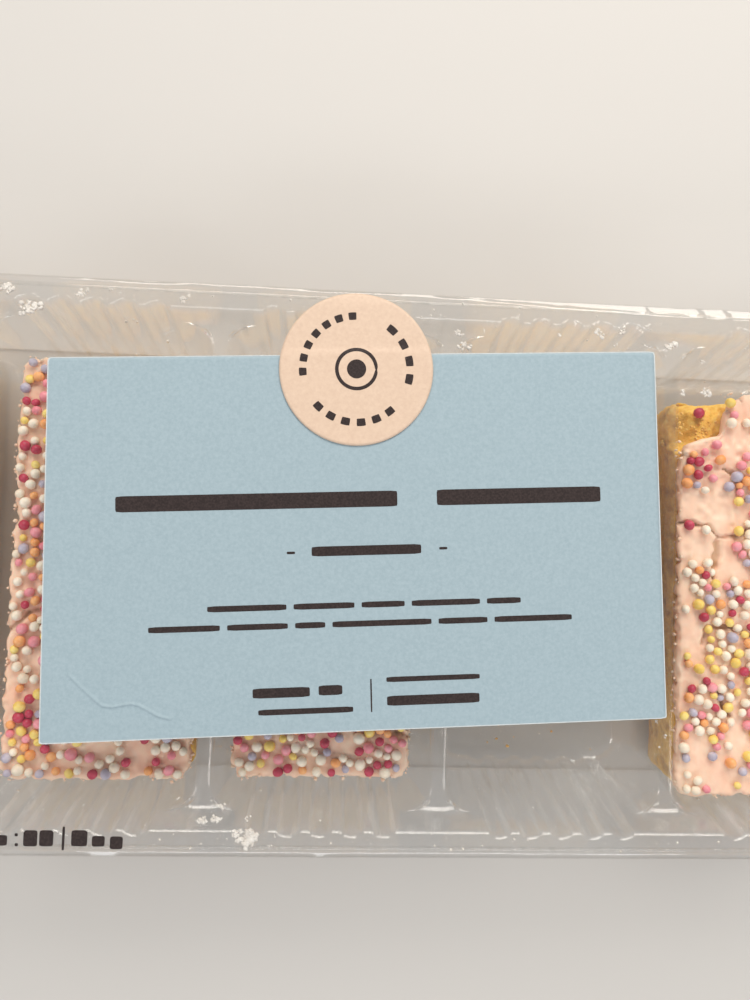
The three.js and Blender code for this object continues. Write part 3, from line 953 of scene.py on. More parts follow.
# %% Label edge
paper_white = coloured("paper_white", {"Roughness": 0.6, "Specular IOR Level": 0.3}, (2000,),
                       [(0.3, (0.50, 0.55, 0.56)), (0.7, (0.60, 0.64, 0.65))])
edge = np.stack(border(label_plan[..., 0], label_plan[..., 1]), axis=-1)
middle = LABEL_CORNERS.mean(axis=0)
inner = middle + (edge - middle) * (1 - BARE_EDGE / np.abs(edge - middle).max(axis=0))
ring = np.stack([edge, inner])
ring_z = label_surface(ring[..., 0], ring[..., 1]) + INK_LIFT / 2
points = np.concatenate([ring, ring_z[..., None]], axis=-1)
add_piece("label_edge", points.reshape(-1, 3), [grid_faces(*ring_z.shape, wrap=True)[:, ::-1]], paper_white)

# %% [markdown]
# ## Sticker
#
# A round cream sticker closes the pack over the label's far edge. It lies on the label with its
# near part and on the film with the rest, and steps down by the paper's thickness in between. It
# is a disc of rings, and its print is a ring of short dashes round a dot with a thin ring.

# %% Sticker
sticker_low, sticker_high = box_mm("sticker")
STICKER_MIDDLE = (sticker_low + sticker_high)[:2] / 2
STICKER_RADIUS = (sticker_high[0] - sticker_low[0]) / 2
STEP_WIDTH = 1.6
DASHES = [
    # first and last angle in degrees and number of the dashes in each stretch of the ring
    (92, 196, 7),
    (-14, 64, 4),
    (222, 322, 6),
]
DASH_RADIUS = 10.6
DASH_HEIGHT = 1.5
DASH_SHARE = 0.56              # of a dash in its place along the ring
RING_RADIUS = 3.9
RING_WIDTH = 0.7
DOT_RADIUS = 1.9
CREAM_GRAIN = (1300, 3.0, 0.6)


def sticker_surface(x, y):
    """Top of the sticker: one paper over the label, a smooth step down past the label's edge,
    and a slow wave, with a slight droop where the film falls away at the pack's edge."""
    left, right = LABEL_CORNERS[3], LABEL_CORNERS[2]
    edge = left[1] + (right[1] - left[1]) * (x - left[0]) / (right[0] - left[0])
    stepped = PAPER * smooth_step(y, edge - 0.1, edge + STEP_WIDTH)
    droop = 0.25 * smooth_step(y, FILM_Y - 3.2, FILM_Y - 0.5)
    return LABEL_TOP + PAPER + 0.05 - stepped - droop + 0.03 * flat_noise(x, y, 6, 21)


paper_cream = coloured("paper_cream", {"Roughness": 0.5, "Specular IOR Level": 0.4}, CREAM_GRAIN,
                       [(0.3, (0.640, 0.470, 0.350)), (0.7, (0.700, 0.530, 0.400))], CREAM_GRAIN, 0.3, 0.03)

turns = np.linspace(0, 2 * np.pi, 145)[:-1]
radii = np.linspace(0, STICKER_RADIUS, 30)[:, None]
x, y = STICKER_MIDDLE[0] + radii * np.cos(turns), STICKER_MIDDLE[1] + radii * np.sin(turns)
disc = np.stack([x, y, sticker_surface(x, y)], axis=-1)
points, faces = weld(disc.reshape(-1, 3), grid_faces(*x.shape, wrap=True)[:, ::-1])
sticker = add_piece("sticker_paper", points, faces, paper_cream, ["sticker"])
thicken(sticker, PAPER)


# %% Sticker print
def arc_patch(first, last, radius, height):
    """A bar bent round the sticker's middle, from one angle to another in degrees."""
    steps = max(5, int((last - first) / 6))
    around, out = rounded_grid(1, height / 2, 0.15, np.linspace(-1, 1, steps), np.linspace(-1, 1, 5))
    turn = np.radians((first + last) / 2 - around * (last - first) / 2)
    x = STICKER_MIDDLE[0] + (radius + out) * np.cos(turn)
    y = STICKER_MIDDLE[1] + (radius + out) * np.sin(turn)
    return np.stack([x, y, sticker_surface(x, y) + INK_LIFT], axis=-1), grid_faces(*x.shape)


patches = [arc_patch(0, 360, RING_RADIUS, RING_WIDTH)]
for first, last, count in DASHES:
    places = np.linspace(first, last, count + 1)[:-1]
    length = (last - first) / count * DASH_SHARE
    patches += [arc_patch(place, place + length, DASH_RADIUS, DASH_HEIGHT) for place in places]
steps = np.linspace(-1, 1, 9)
x, y = rounded_grid(DOT_RADIUS, DOT_RADIUS, DOT_RADIUS, steps, steps)
x, y = x + STICKER_MIDDLE[0], y + STICKER_MIDDLE[1]
patches.append((np.stack([x, y, sticker_surface(x, y) + INK_LIFT], axis=-1), grid_faces(*x.shape)))
points, faces = gather(patches)
add_piece("sticker_print", points, [faces], ink)
print("sticker at", STICKER_MIDDLE.round(1), "radius", round(STICKER_RADIUS, 2))

# %% [markdown]
# ## Cakes
#
# Each cake is a slab of sponge with a layer of set icing. Both are cut by hand, so no side is
# straight and no edge is sharp. One function makes both: an oblong grid for the top, rings that
# go down from its border at the insets of a profile, and a closed underside. What makes them food
# is relief along the surface's own direction: open crumb with pores for the sponge, and a slow
# swell with a few cracks for the icing, which is set hard and has split.

# %% Cake sizes
CAKES = 5
CAKE_CORNER = 3.5
TURNS = np.radians([0.3, -0.4, 0.2, -0.3, 0.1])
SEEDS = [31, 32, 33, 34, 35]
SHIFTS = [0, -0.7, 0, 0, 0.7]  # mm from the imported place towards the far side
SPONGE_LONGER = [0, 0, 0, 0, 0.7]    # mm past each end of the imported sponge
BARE_CAKE = 4                  # number of the cake whose icing has lost a corner
BARE_SIZE = 8.8                # how far the bare patch reaches from that corner
BARE_BEYOND = 2.0              # the patch's middle lies this far outside the corner
SPONGE_PROFILE = [
    # height from the foot and inset from the widest outline
    (16.0, 0.9), (15.7, 0.45), (15.0, 0.1), (14.2, 0.0), (13.2, 0.0), (12.0, 0.05), (10.8, 0.1),
    (9.6, 0.2), (8.4, 0.3), (7.2, 0.4), (6.0, 0.55), (4.9, 0.7), (3.8, 0.85), (2.8, 1.1),
    (1.9, 1.4), (1.1, 1.8), (0.5, 2.3), (0.1, 2.8), (0.0, 3.2),
]
ICING_PROFILE = [
    (3.4, 1.0), (3.36, 0.72), (3.2, 0.42), (2.95, 0.2), (2.6, 0.07), (2.1, 0.0), (1.5, 0.04),
    (0.9, 0.1), (0.35, 0.35), (-0.1, 1.0),
]
sponge_boxes = [box_mm(f"sponge_{i + 1}") for i in range(CAKES)]
icing_boxes = [box_mm(f"icing_{i + 1}") for i in range(CAKES)]
SPONGE_FOOT = sponge_boxes[0][0][2]
ICING_FOOT = icing_boxes[0][0][2]
ICING_HEIGHT = ICING_PROFILE[0][0]
print("sponge stands at", round(SPONGE_FOOT, 2), "icing at", round(ICING_FOOT, 2))

# %% Slab shape
def outward(x, y, reach=2):
    """Plan directions out of a closed anticlockwise outline: its tangent turned clockwise."""
    along_x = np.roll(x, -reach) - np.roll(x, reach)
    along_y = np.roll(y, -reach) - np.roll(y, reach)
    length = np.hypot(along_x, along_y)
    return along_y / length, -along_x / length


def slab(grid_x, grid_y, profile):
    """A closed body under a plan grid, in welded points and faces. Each profile level is the
    grid's border pushed out by how much less it is inset than the top."""
    top_z, top_inset = profile[0]
    rows, columns = grid_x.shape
    top = np.stack([grid_x, grid_y, np.full_like(grid_x, top_z)], axis=-1)
    edge_x, edge_y = border(grid_x, grid_y)
    out_x, out_y = outward(edge_x, edge_y)
    rings = [np.stack([edge_x + out_x * (top_inset - inset), edge_y + out_y * (top_inset - inset),
                       np.full_like(edge_x, z)], axis=-1) for z, inset in profile]
    middle = rings[-1].mean(axis=0)
    rings += [middle + (rings[-1] - middle) * share for share in (0.8, 0.5, 0.2, 0.0)]
    wall = np.stack(rings)
    return weld(*gather([(top, grid_faces(rows, columns)),
                         (wall, grid_faces(wall.shape[0], wall.shape[1], wrap=True)[:, ::-1])]))


def directions(points, faces):
    """Outward direction at each point: the sum of its faces' areas as vectors, at length 1."""
    total = np.zeros_like(points)
    for group in faces:
        corners = points[group]
        area = np.cross(corners[:, 2] - corners[:, 0], corners[:, -1] - corners[:, 1])
        if group.shape[1] == 3:
            area = np.cross(corners[:, 1] - corners[:, 0], corners[:, 2] - corners[:, 0])
        for k in range(group.shape[1]):
            np.add.at(total, group[:, k], area)
    return total / np.maximum(np.linalg.norm(total, axis=1), 1e-9)[:, None]


print("levels of the sponge:", len(SPONGE_PROFILE), "of the icing:", len(ICING_PROFILE))

# %% Ragged plan
def tears(x, y, seed):
    """0 to 1: small bites out of a broken edge, of two sizes."""
    coarse = smooth_step(flat_noise(x, y, 2.3, seed + 60), -0.1, 0.6)
    fine = smooth_step(flat_noise(x, y, 1.1, seed + 61), -0.1, 0.6)
    return 0.5 * coarse + 0.5 * fine


def ragged_plan(number, step, inset, waver, longer=0.0, torn=0.0):
    """The plan grid of one cake, a `step` apart, whose border wanders in by up to `waver` mm and is
    torn by up to `torn`. Its ends reach `longer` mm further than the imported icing's."""
    low, high = icing_boxes[number]
    half_x, half_y = (high - low)[:2] / 2 - inset + np.array([0, longer])
    steps_x, steps_y = int(2 * half_x / step), int(2 * half_y / step)
    corner = CAKE_CORNER - min(inset, 2)
    x, y = rounded_grid(half_x, half_y, corner, np.linspace(-1, 1, steps_x), np.linspace(-1, 1, steps_y))
    seed = SEEDS[number]
    wander = 0.55 * flat_noise(x, y, 11, seed) + 0.3 * flat_noise(x, y, 4.5, seed + 40)
    wander = waver * np.clip(0.5 + 0.6 * wander, 0, 1) + torn * tears(x, y, seed)
    reach = 7 if torn == 0 else 4
    near_x = smooth_step(np.abs(x), half_x - reach, half_x)
    near_y = smooth_step(np.abs(y), half_y - reach, half_y)
    return x - np.sign(x) * wander * near_x, y - np.sign(y) * wander * near_y


def stand_in_well(number, points, foot):
    """Turns a cake's own frame into the pack's: a small turn, then a move to its box's middle."""
    low, high = icing_boxes[number]
    middle = (low + high)[:2] / 2 + np.array([0, SHIFTS[number]])
    c, s = np.cos(TURNS[number]), np.sin(TURNS[number])
    x = points[:, 0] * c - points[:, 1] * s + middle[0]
    y = points[:, 0] * s + points[:, 1] * c + middle[1]
    return np.stack([x, y, points[:, 2] + foot], axis=-1)


print("cakes stand at x:", [round(float((low + high)[0]) / 2, 1) for low, high in icing_boxes])

# %% [markdown]
# ## Sponge
#
# The crumb is golden yellow and open, with pores up to two millimetres wide, and the foot of the
# slab is baked darker. Pores are dents where a noise is high, so they are real hollows in the
# mesh, and finer grain is bump. The colour goes by height for the bake and by noise for the
# crumb, and painted shade darkens it in the pores: how deep a point lies in one is stored on the
# mesh, and the material reads it as a painted shadow. The corner that has lost its icing has
# crumbled too, so there the slab's top sinks towards both sides.

# %% Sponge crumb
PORE_DEPTH = 0.75
WORN_DEPTH = 4.2               # mm that the bare corner has crumbled away
WORN_REACH = 8.0               # side of the crumbled patch in mm
WORN_FADE = 5.0                # how far the patch fades out past its side
BAKED_HEIGHT = 22.0            # mm over which the ramp of the bake runs
# Colour of the painted shade in the pores.
PORE_SHADE_COLOUR = (0.42, 0.17, 0.022, 1)
SPONGE_STEP = 0.62             # grid step in mm


def crumb_relief(points, seed):
    """Height in mm along the surface's direction, and how far each point lies in a pore. Pores are
    where coarse noise is high; between them is grain."""
    wide = smooth_step(noise(points, 1.9, seed), 0.12, 0.75)
    small = smooth_step(noise(points, 1.1, seed + 1), 0.2, 0.8)
    pores = wide + 0.6 * small
    grain = 0.16 * noise(points, 0.75, seed + 2) + 0.22 * noise(points, 4.0, seed + 3)
    return grain - PORE_DEPTH * 0.55 * pores - 0.05, pores


def wear_corner(points):
    """Crumbles the upper left corner away: inside a square patch there, the upper part of the slab
    sinks the more the nearer a point lies to the two outer sides, unevenly."""
    from_left, from_end = points[:, 0] - points[:, 0].min(), points[:, 1].max() - points[:, 1]
    in_patch = [1 - smooth_step(away, WORN_REACH, WORN_REACH + WORN_FADE) for away in (from_left, from_end)]
    nearest = np.minimum(from_left, from_end + 1.5)
    uneven = 1 + 0.35 * noise(points, 3.0, 95) + 0.25 * noise(points, 1.3, 96)
    share = (1 - smooth_step(nearest, 0.0, 6.0)) * in_patch[0] * in_patch[1]
    sunk = WORN_DEPTH * share * uneven * smooth_step(points[:, 2], 5.0, 16.0)
    return points - sunk[:, None] * (0, 0, 1)


sponge_crumb, tree, shader = painted("sponge_crumb", {
    "Roughness": 0.92, "Specular IOR Level": 0.2, "Subsurface Weight": 0.25, "Subsurface Scale": 0.0025,
    "Subsurface Radius": (1.0, 0.55, 0.25),
})
crumb = ramp(tree, speckle(tree, 900, 4.0, 0.65), [
    (0.26, (0.66, 0.330, 0.048)), (0.42, (0.88, 0.490, 0.095)),
    (0.58, (0.95, 0.600, 0.150)), (0.75, (0.97, 0.720, 0.280)),
])
place = node(tree, "ShaderNodeTexCoord").outputs["Object"]
height = node(tree, "ShaderNodeSeparateXYZ", {0: place}).outputs["Z"]
bake = ramp(tree, math(tree, "MULTIPLY", height, 1 / (BAKED_HEIGHT * MM)), [
    (0.05, (0.62, 0.38, 0.18)), (0.16, (0.92, 0.80, 0.60)), (0.35, 1.0), (1.0, 1.0),
])
# Painted shade: the deeper a point lies in a pore, the darker its colour.
pore = ramp(tree, stored(tree, "pore"), [(0.15, 0.0), (1.0, 0.5)])
baked_crumb_with_pore_shade = mixed(tree, pore, mixed(tree, 1.0, crumb, bake, "MULTIPLY"), PORE_SHADE_COLOUR)
finish(tree, shader, baked_crumb_with_pore_shade, (2200, 3.0, 0.7), 0.8, 0.25)
print("crumb material:", sponge_crumb.name)

# %% Sponge slabs
for number in range(CAKES):
    plan = ragged_plan(number, SPONGE_STEP, 0.5 + SPONGE_PROFILE[0][1], 0.5, SPONGE_LONGER[number])
    points, faces = slab(*plan, SPONGE_PROFILE)
    if number == BARE_CAKE:
        points = wear_corner(points)
    relief, pores = crumb_relief(points + 7 * number, 50 + number)
    relief = relief * smooth_step(points[:, 2], 0.0, 1.5)
    points = points + directions(points, faces) * relief[:, None]
    points[:, 2] = np.clip(points[:, 2], 0, None)
    points = stand_in_well(number, points, SPONGE_FOOT)
    name = f"sponge_slab_{number + 1}"
    sponge = add_piece(name, points, faces, sponge_crumb, [f"sponge_{number + 1}"])
    # Pore depth, which the material turns into painted shade.
    keep_values(sponge, "pore", pores)

# %% [markdown]
# ## Icing
#
# The icing is a thick layer that set with rounded edges and a satin skin. Its height is one
# function of the place on the cake, because the sprinkles need it too. Cracks are narrow grooves
# along broken lines; on the cake at the right they follow the real ones, and on the others they
# are drawn at random. In the grooves the colour turns to the sponge's crumb under the icing,
# darkened further as painted shade. The cake at the right has lost the icing of one corner: the
# grid there is squeezed away from a point just outside the corner, which leaves a torn inner edge.

# %% Cracks in the icing
CRACKS_SEEN = [
    # broken lines as picture pixels on the icing of the cake at the right
    [(673, 522), (690, 523), (708, 526), (716, 533), (722, 538)],
    [(722, 538), (738, 537), (752, 531), (768, 536), (790, 533)],
    [(719, 538), (717, 552), (716, 566), (714, 578)],
    [(726, 470), (740, 476), (757, 481), (776, 477)],
    [(709, 628), (706, 638), (703, 645)],
    [(706, 630), (722, 626), (738, 631), (756, 637)],
    [(664, 590), (668, 602), (674, 612)],
    [(720, 690), (724, 705), (731, 716)],
]
GAP_SEEN = [(719, 543), (717, 566)]               # where two plates of icing stand apart
CRACK_WIDTH = 0.34
CRACK_DEPTH = 1.7
GAP_WIDTH = 0.85
RANDOM_CRACKS = 4
ICING_LONGER = [1.2, 0.5, 1.2, -1.2, 1.9]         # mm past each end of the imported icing
ICING_STEPS = [0.62, 0.5, 0.5, 0.62, 0.36]        # grid step in mm of each cake's icing
ICING_WAVER = 0.8              # mm that the icing's border wanders in
ICING_TORN = 0.75              # and mm that its torn bites go deeper
# Colour in the cracks: the sponge's crumb under the icing, darkened as painted shade.
CRACK_CRUMB_AND_SHADE = (0.42, 0.20, 0.06, 1)
icing_top_z = ICING_FOOT + ICING_HEIGHT


def own_frame(number, points):
    """The pack's plan points in one cake's own frame."""
    low, high = icing_boxes[number]
    x, y = (np.asarray(points)[..., :2] - (low + high)[:2] / 2 - np.array([0, SHIFTS[number]])).T
    c, s = np.cos(TURNS[number]), np.sin(TURNS[number])
    return np.stack([x * c + y * s, y * c - x * s], axis=-1)


def random_cracks(number):
    """A few short wandering lines that start at the border and run inwards."""
    draw = np.random.default_rng(70 + number)
    low, high = icing_boxes[number]
    half_x, half_y = (high - low)[:2] / 2
    lines = []
    for _ in range(RANDOM_CRACKS):
        side = draw.choice([-1, 1])
        at = np.array([side * half_x, draw.uniform(-0.85, 0.85) * half_y])
        heading = np.pi * (side > 0) + draw.uniform(-0.5, 0.5)
        line = [at]
        for _ in range(draw.integers(3, 7)):
            heading += draw.uniform(-0.6, 0.6)
            line.append(line[-1] + draw.uniform(2.0, 4.0) * np.array([np.cos(heading), np.sin(heading)]))
        lines.append(np.array(line))
    return lines


cracks = [random_cracks(number) for number in range(CAKES)]
cracks[BARE_CAKE] = [own_frame(BARE_CAKE, seen_at(line, icing_top_z)) for line in CRACKS_SEEN]
gap_line = own_frame(BARE_CAKE, seen_at(GAP_SEEN, icing_top_z))


def crack_depth(number, x, y):
    """Depth of the grooves, 0 to 1, with lines that wander by a few tenths of a mm."""
    x = x + 0.5 * flat_noise(x, y, 2.2, 81)
    y = y + 0.5 * flat_noise(x, y, 2.2, 82)
    deep = np.zeros(np.broadcast(x, y).shape)
    for line in cracks[number]:
        for start, end in zip(line[:-1], line[1:]):
            deep = np.maximum(deep, ridge(x, y, start, end, CRACK_WIDTH))
    if number == BARE_CAKE:
        deep = np.maximum(deep, ridge(x, y, *gap_line, GAP_WIDTH))
    return deep * (0.65 + 0.35 * flat_noise(x, y, 4, 83))


print("cracks on each cake:", [len(lines) for lines in cracks])

# %% Icing height
def icing_relief(number, x, y):
    """Height over the flat top in mm: a slow swell of two sizes, fine lumps and the cracks."""
    seed = SEEDS[number]
    swell = 0.42 * flat_noise(x, y, 12, seed + 5) + 0.11 * flat_noise(x, y, 4.2, seed + 6)
    lumps = 0.07 * flat_noise(x, y, 1.7, seed + 7)
    deep = crack_depth(number, x, y)
    return swell + lumps - CRACK_DEPTH * deep - 0.35


def squeeze_from_corner(x, y, half_x, half_y):
    """Pushes points away from just outside the upper left corner until that corner is clear. The
    cleared reach is a squarish arc, and the push fades out over the next 7 mm."""
    centre_x, centre_y = -half_x - BARE_BEYOND, half_y + BARE_BEYOND
    dx, dy = x - centre_x, y - centre_y
    away = np.hypot(dx, dy)
    turn = np.arctan2(-dy, dx)
    clear = (BARE_SIZE + BARE_BEYOND) / (np.cos(turn) ** 6 + np.sin(turn) ** 6) ** (1 / 6)
    clear = clear + 0.7 * flat_noise(np.cos(turn) * 9, np.sin(turn) * 9, 1.6, 91)
    reach = clear + 7
    pushed = np.where(away < reach, clear + away * (reach - clear) / reach, away)
    return centre_x + dx / away * pushed, centre_y + dy / away * pushed


print("top of the icing at", round(icing_top_z, 2))

# %% Icing pieces
icing_satin, tree, shader = painted("icing_satin", {
    "Roughness": 0.42, "Specular IOR Level": 0.4, "Subsurface Weight": 0.35, "Subsurface Scale": 0.0022,
    "Subsurface Radius": (1.0, 0.6, 0.45),
})
sugar = ramp(tree, speckle(tree, 170, 4.0, 0.6), [
    (0.30, (0.885, 0.530, 0.375)), (0.50, (0.910, 0.615, 0.445)), (0.72, (0.930, 0.690, 0.520)),
])
# The cracks' colour: crumb, with painted shade that grows with the groove's depth.
inside = ramp(tree, stored(tree, "crack"), [(0.22, 0.0), (0.75, 1.0)])
finish(tree, shader, mixed(tree, inside, sugar, CRACK_CRUMB_AND_SHADE), (900, 4.0, 0.6), 0.35, 0.12)

for number in range(CAKES):
    step, inset = ICING_STEPS[number], ICING_PROFILE[0][1]
    plan_x, plan_y = ragged_plan(number, step, inset, ICING_WAVER, ICING_LONGER[number], ICING_TORN)
    if number == BARE_CAKE:
        plan_x, plan_y = squeeze_from_corner(plan_x, plan_y, plan_x.max(), plan_y.max())
    points, faces = slab(plan_x, plan_y, ICING_PROFILE)
    seed = SEEDS[number]
    upper = smooth_step(points[:, 2], 1.2, ICING_HEIGHT)
    split = crack_depth(number, points[:, 0], points[:, 1]) * upper
    points[:, 2] += icing_relief(number, points[:, 0], points[:, 1]) * upper
    lumps = 0.40 * noise(points, 1.3, seed + 8) + 0.3 * noise(points, 4.5, seed + 9) - 0.2
    side = 1 - smooth_step(points[:, 2], ICING_HEIGHT - 0.5, ICING_HEIGHT)
    points = points + directions(points, faces) * (lumps * side)[:, None]
    points = stand_in_well(number, points, ICING_FOOT)
    name = f"icing_layer_{number + 1}"
    icing = add_piece(name, points, faces, icing_satin, [f"icing_{number + 1}"])
    # Crack depth, which the material turns into crumb colour and painted shade.
    keep_values(icing, "crack", split)

# %% [markdown]
# ## Sprinkles
#
# The icing is strewn with sugar balls about 2 mm across, close together in some places and missing
# in others, and pressed in while it was wet. Each colour is one joined mesh: one small ball is
# copied to all its places at once by array broadcasting, a little squashed and turned each time.
# Places are drawn in advance. They are taken in the order of a clustering noise, highest first,
# and each is kept unless another ball is too near.

# %% Sprinkle places
SPRINKLE_RADIUS = (0.84, 1.24)
SPRINKLES_EACH = 370
DRAWS = 9000
NEAREST = 0.90                 # of the two radii added
STREWN_EDGE = 1                # number of the cake whose left edge is thick with them
STREWN_ENDS = (1, 2)           # numbers of the cakes whose near end is thick with them
SUNK = 0.48                    # of the radius
SPRINKLE_COLOURS = {
    # share of all, and colour where it is dark and where it is light
    "white": (0.40, (0.84, 0.71, 0.55), (0.96, 0.87, 0.72)),
    "yellow": (0.13, (0.83, 0.56, 0.10), (0.94, 0.74, 0.24)),
    "orange": (0.12, (0.84, 0.33, 0.09), (0.93, 0.47, 0.19)),
    "pink": (0.12, (0.78, 0.23, 0.27), (0.89, 0.38, 0.42)),
    "magenta": (0.13, (0.42, 0.020, 0.055), (0.60, 0.055, 0.11)),
    "lilac": (0.10, (0.40, 0.36, 0.45), (0.56, 0.52, 0.60)),
}
SUGAR_COAT = {"Roughness": 0.38, "Specular IOR Level": 0.45, "Subsurface Weight": 0.15,
              "Subsurface Scale": 0.001, "Subsurface Radius": (1.0, 0.7, 0.6)}
LONE_SPRINKLE = (699, 413)     # pixel of the one on the bare sponge
LONE_RADIUS = 1.3


def scatter(number):
    """Plan places and radii of one cake's sprinkles, in its own frame."""
    draw = np.random.default_rng(100 + number)
    low, high = icing_boxes[number]
    half_x, half_y = (high - low)[:2] / 2 - 1.9 + np.array([0, ICING_LONGER[number]])
    x, y = draw.uniform(-half_x, half_x, DRAWS), draw.uniform(-half_y, half_y, DRAWS)
    radius = draw.uniform(*SPRINKLE_RADIUS, DRAWS)
    thick = 0.8 * flat_noise(x, y, 4.6, SEEDS[number] + 11) + 0.4 * flat_noise(x, y, 12, SEEDS[number] + 12)
    if number == STREWN_EDGE:
        thick = thick + 0.45 * (1 - smooth_step(x, 7 - half_x, 10 - half_x)) * smooth_step(y, -36, -22)
    if number in STREWN_ENDS:
        thick = thick + 0.4 * (1 - smooth_step(y, 9 - half_y, 13 - half_y))
    rank = thick + 0.13 * draw.normal(size=DRAWS)
    wanted = crack_depth(number, x, y) < 0.5
    if number == BARE_CAKE:
        reach = np.maximum(x + half_x, half_y - y)
        wanted &= reach > BARE_SIZE + 0.6
    places = np.empty((0, 3))
    order = np.argsort(-rank)
    for place in np.column_stack([x, y, radius])[order][wanted[order]]:
        gap = np.hypot(*(places[:, :2] - place[:2]).T) - NEAREST * (places[:, 2] + place[2])
        if len(places) < SPRINKLES_EACH and (gap > 0).all():
            places = np.vstack([places, place])
    return places


def sprinkle_centres(number):
    """Centres in the pack's frame and radii: each ball lies on the icing, sunk by a share of its
    radius, and lower where the icing's edge rounds over."""
    places = scatter(number)
    x, y, radius = places.T
    low, high = icing_boxes[number]
    half_x, half_y = (high - low)[:2] / 2 + np.array([0, ICING_LONGER[number]])
    border_gap = np.minimum(half_x - np.abs(x), half_y - np.abs(y))
    rounding = 0.45 * (1 - smooth_step(border_gap, 0.5, 1.8))
    z = ICING_HEIGHT + icing_relief(number, x, y) - rounding + radius * (1 - SUNK)
    return stand_in_well(number, np.column_stack([x, y, z]), ICING_FOOT), radius


centres, radii = map(np.concatenate, zip(*[sprinkle_centres(number) for number in range(CAKES)]))
lone = seen_at(LONE_SPRINKLE, SPONGE_FOOT + 16.6)
centres, radii = np.concatenate([centres, lone]), np.append(radii, LONE_RADIUS)
print("sprinkles:", len(radii))

# %% Sprinkle meshes
def ball_shape(fineness):
    """Points and triangles of a ball of radius 1."""
    shape = bmesh.new()
    bmesh.ops.create_icosphere(shape, subdivisions=fineness, radius=1.0)
    points = np.array([v.co for v in shape.verts])
    faces = np.array([[v.index for v in f.verts] for f in shape.faces])
    shape.free()
    return points, faces


def random_turns(count, draw, lying):
    """Random rotation matrices, from random unit quaternions. Lying things turn about Z alone."""
    parts = draw.normal(size=(count, 4)) * ((1, 0, 0, 1) if lying else (1, 1, 1, 1))
    w, x, y, z = (parts / np.linalg.norm(parts, axis=1)[:, None]).T
    rows = [[1 - 2 * (y * y + z * z), 2 * (x * y - z * w), 2 * (x * z + y * w)],
            [2 * (x * y + z * w), 1 - 2 * (x * x + z * z), 2 * (y * z - x * w)],
            [2 * (x * z - y * w), 2 * (y * z + x * w), 1 - 2 * (x * x + y * y)]]
    return np.moveaxis(np.array(rows), -1, 0)


def strew(shape, centres, sizes, draw, rough=0.0, lying=False):
    """Copies of a shape: scaled by sizes (count x 3), turned at random, with each point moved in
    or out by up to `rough`, and put at the centres."""
    points, faces = shape
    copies = points[None] * (1 + rough * draw.uniform(-1, 1, (len(centres), len(points), 1)))
    copies = copies * sizes[:, None, :]
    copies = np.einsum("nij,npj->npi", random_turns(len(centres), draw, lying), copies) + centres[:, None, :]
    starts = np.arange(len(centres))[:, None, None] * len(points)
    return copies.reshape(-1, 3), (faces[None] + starts).reshape(-1, 3)


draw = np.random.default_rng(200)
shares = np.array([share for share, _, _ in SPRINKLE_COLOURS.values()])
kinds = draw.choice(len(shares), size=len(radii), p=shares / shares.sum())
kinds[-1] = list(SPRINKLE_COLOURS).index("magenta")
ball = ball_shape(2)
for kind, (name, (share, dark, light)) in enumerate(SPRINKLE_COLOURS.items()):
    stops = [(0.32, dark), (0.68, light)]
    sugar_coat = coloured(f"sugar_{name}", SUGAR_COAT, (420, 2.0, 0.5), stops, (2600,), 0.25, 0.06)
    mine = kinds == kind
    squash = draw.uniform(0.88, 1.08, (mine.sum(), 3))
    points, faces = strew(ball, centres[mine], radii[mine, None] * squash, draw, 0.03)
    add_piece(f"sprinkles_{name}", points, [faces], sugar_coat)

# %% [markdown]
# ## Crumbs
#
# Handling has shaken white flakes off the icing and a few golden crumbs off the sponge. Each is a
# coarse ball made flat and jagged. The larger flakes are heaps of such bits where the picture
# shows them, on the flange or just under the film. The small ones are strewn at random over the
# flange, the end walls and the floors of the wells. The golden crumbs lie on the floors and on the
# bare corner, and crumbs of icing hang on the broken edges of the icing.

# %% Crumbs and flakes
HEAPS = [
    # picture pixel, length in mm and number of lumps of each heap of flakes
    (253, 836, 2.6, 10), (248, 842, 2.5, 10), (241, 840, 1.6, 4), (236, 834, 1.7, 6), (215, 820, 1.6, 6),
    (201, 821, 1.8, 5), (220, 806, 1.3, 4), (246, 819, 0.9, 2), (178, 798, 1.0, 2), (201, 844, 0.8, 1),
    (270, 846, 0.9, 2), (31, 308, 3.0, 8), (22, 312, 1.5, 3), (8, 288, 2.6, 6), (80, 294, 1.7, 4),
    (87, 291, 1.0, 2), (183, 299, 1.6, 4), (189, 296, 1.0, 2), (458, 333, 1.8, 3), (464, 346, 2.0, 4),
    (484, 330, 0.9, 1), (519, 316, 0.8, 1), (544, 320, 1.1, 2), (559, 335, 0.9, 2), (575, 324, 1.0, 2),
    (598, 331, 1.4, 3), (602, 336, 1.4, 3), (622, 332, 1.6, 4), (617, 345, 0.9, 2), (637, 328, 1.0, 2),
    (641, 331, 0.9, 2), (648, 326, 1.3, 2), (670, 346, 2.0, 6), (702, 362, 1.1, 2), (683, 393, 1.3, 3),
    (706, 393, 2.0, 4), (656, 722, 0.9, 2), (664, 736, 0.8, 2), (660, 748, 0.7, 1), (605, 700, 1.0, 2),
]
LUMP_BITS = 3                  # small bits that make up each lump
SPECKS = 330
THICKEST = 0.42                # mm over the rim: flakes there lie under the film
ON_FLANGE, ON_WALL = 0.40, 0.35    # shares of the small flakes; the rest lie on the floors

